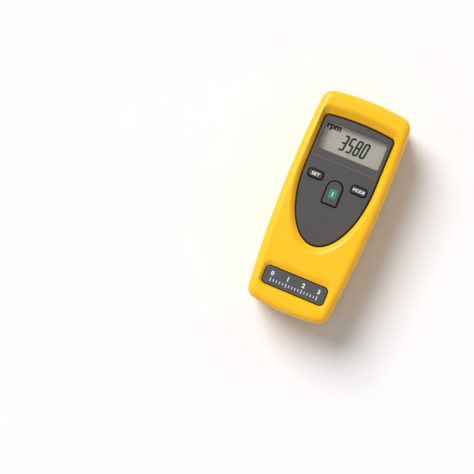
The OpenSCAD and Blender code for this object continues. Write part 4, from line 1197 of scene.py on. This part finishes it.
def cell_finish(name, nub_end, sign):
    """A slate grey sleeve with a pale band towards the nub, between bare steel ends."""
    made = Finish(name)
    along = (made.axis("Y") - nub_end * MM) * -sign
    opened, banded, closed = (along.ramp((line - print_soft) * MM, (line + print_soft) * MM)
                              for line in (sleeve_from, band_to, sleeve_to))
    wear = made.noise(10, 2)
    slate = wear.ramp(0.3, 0.7).tint(shade(118, 131, 142), shade(126, 139, 150))
    band = wear.ramp(0.3, 0.7).tint(shade(200, 202, 200), shade(210, 212, 210))
    steel = made.noise(0.2).ramp(0.3, 0.7).tint(shade(190, 190, 188), shade(210, 210, 208))
    bare = 1 - opened * (1 - closed)
    return made.feed(Base_Color=bare.tint(banded.tint(band, slate), steel), Metallic=bare * 0.95,
                     Roughness=0.32 - bare * 0.04 + wear * 0.08)


for name, sign in (("left_cell", 1), ("right_cell", -1)):
    low, high = box(name)
    r, length = cell_d / 2, high.y - low.y - nub_l
    foot, nub_end = (low.y, high.y)[::sign]
    lay = Matrix.Translation(((low.x + high.x) / 2, foot, cell_z)) @ Matrix.Rotation(
        math.radians(-90 * sign), 4, "X")
    turns = (0.4, 0.8, 1.2)
    profile = [(0, foot_steps[0][1])] + [(r - inset, rise) for inset, rise in foot_steps]
    profile += [(r + roll_r * (math.sin(t) - 1), roll_r * (1 - math.cos(t))) for t in turns]
    profile += [(r, roll_r), (r, length - roll_r)]
    profile += [(r + roll_r * (math.cos(t) - 1), length + roll_r * (math.sin(t) - 1)) for t in turns]
    profile += [(r - inset, length + rise) for inset, rise in crown_steps]
    profile += [(nub_r + grow, length + rise) for grow, rise in nub_steps] + [(0, length + nub_l)]
    sleeve = cell_finish(name + "_sleeve", nub_end, sign)
    dress(blank(name + "_can", turned(profile, lay)), sleeve.material, "case", [name])


# Battery door: a yellow cover moulded like the case, which slides off towards the tail on two tongues.
# A sunk thumb rest with five ribs gives a grip on it.
rest_w, rest_l, rest_t, rest_r = 18, 11, 0.9, 1.5
rest_y, rest_z = door_high.y - 2 * rest_l, door_low.z + rest_t
rib_count = 5
rib_sizes = {"Pitch": rest_l / (rib_count + 1), "Length": rest_w - 2 * rest_r, "Radius": 0.62}
door = blank("battery_door_cover", case_loft(rear_levels))
cover, tongues = door_room(0, door_low.z, door_high.z)
carve(door, "INTERSECT", [carve(blank("room", cover), "UNION", [tongues])])
carve(door, "DIFFERENCE", [
    prism(round_rect((-rest_w / 2, rest_y), (rest_w / 2, rest_y + rest_l), rest_r), -over, rest_z)])
dress(door, case_plastic.material, "battery_door", ["battery_door"])

row = geometry_tree("thumb_ribs", rib_sizes)
bar = row["Points"].node("GeometryNodeMeshCylinder", inputs={
    "Vertices": 24, "Radius": row["Radius"], "Depth": row["Length"]})
step = row["Points"].node("ShaderNodeCombineXYZ", inputs={1: row["Pitch"]})
line = row["Points"].node("GeometryNodeMeshLine", {"mode": "OFFSET"}, {"Count": rib_count, "Offset": step})
laid = bar.node("GeometryNodeInstanceOnPoints", inputs={
    "Points": line, "Instance": bar, "Rotation": (0, math.pi / 2, 0)})
ribs = grown("door_ribs", laid, rib_sizes, [(0, 0, 0)], case_plastic.material)
ribs.data.transform(Matrix.Translation(Vector((0, rest_y + rib_sizes["Pitch"], rest_z)) * MM))
dress(ribs, case_plastic.material, "battery_door")


# Setting: a pale painted floor under the instrument, soft daylight from the laser end and the left,
# and a camera that looks nearly square at the face and is rolled a little.
floor_finish = Finish("floor_finish", Roughness=0.9, Specular_IOR_Level=0.1)
floor_tone = floor_finish.noise(60).ramp(0.2, 0.8)
floor_finish.feed(Base_Color=floor_tone.tint(shade(240, 239, 240), shade(243, 242, 243)))
floor_size, floor_drop = 4000, 0.05
floor_mesh = bmesh.new()
bmesh.ops.create_grid(floor_mesh, x_segments=8, y_segments=8, size=floor_size)
bmesh.ops.translate(floor_mesh, verts=floor_mesh.verts, vec=(0, 0, -floor_drop))
floor = blank("floor", floor_mesh)
floor.data.materials.append(floor_finish.material)

sky = bpy.data.worlds.new("sky")
sky.use_nodes = True
bpy.context.scene.world = sky
level, ambient = 1.12, 0.4
rays = [Flow(sky.node_tree).node("ShaderNodeLightPath", out=f"Is {kind} Ray")
        for kind in ("Camera", "Glossy", "Transmission")]
seen = rays[0].math("MINIMUM", rays[0] + rays[1] + rays[2], 1.0)
strength = seen * (1 - ambient) + ambient
background = sky.node_tree.nodes["Background"]
sky.node_tree.links.new(strength.socket, background.inputs["Strength"])
background.inputs["Color"].default_value = (1, 1, 1, 1)

light_from = Vector((-0.72, 0.5, 1.0)).normalized()
sun = bpy.data.objects.new("sun", bpy.data.lights.new("sun", "SUN"))
sun.data.energy = (level - ambient) * math.pi / light_from.z
sun.data.angle = math.radians(34)
sun.rotation_mode = "QUATERNION"
sun.rotation_quaternion = light_from.to_track_quat("Z", "Y")
bpy.context.scene.collection.objects.link(sun)

picture_size = 474
body_pixel = (327.1, 206.8)
pixels_per_mm = 1.660
roll = math.radians(22.4)
look_from = Vector((0.04, -0.065, 1)).normalized()
camera = bpy.data.objects.new("camera", bpy.data.cameras.new("camera"))
camera.data.sensor_width, camera.data.lens = 36, 100
distance = picture_size / pixels_per_mm * MM * camera.data.lens / camera.data.sensor_width
middle = Vector((0, 0, face_z * MM))
up = Vector((-math.sin(roll), math.cos(roll), 0))
right = up.cross(look_from).normalized()
up = look_from.cross(right)
aside = [(p - picture_size / 2) / pixels_per_mm * MM for p in body_pixel]
camera.location = middle + look_from * distance
aim = middle - right * aside[0] + up * aside[1]
back = (camera.location - aim).normalized()
side = up.cross(back).normalized()
camera.rotation_mode = "QUATERNION"
camera.rotation_quaternion = Matrix((side, back.cross(side), back)).transposed().to_quaternion()
camera.data.clip_start, camera.data.clip_end = 0.05, 20
bpy.context.scene.collection.objects.link(camera)
bpy.context.scene.camera = camera
bpy.context.scene.view_settings.view_transform = "Standard"
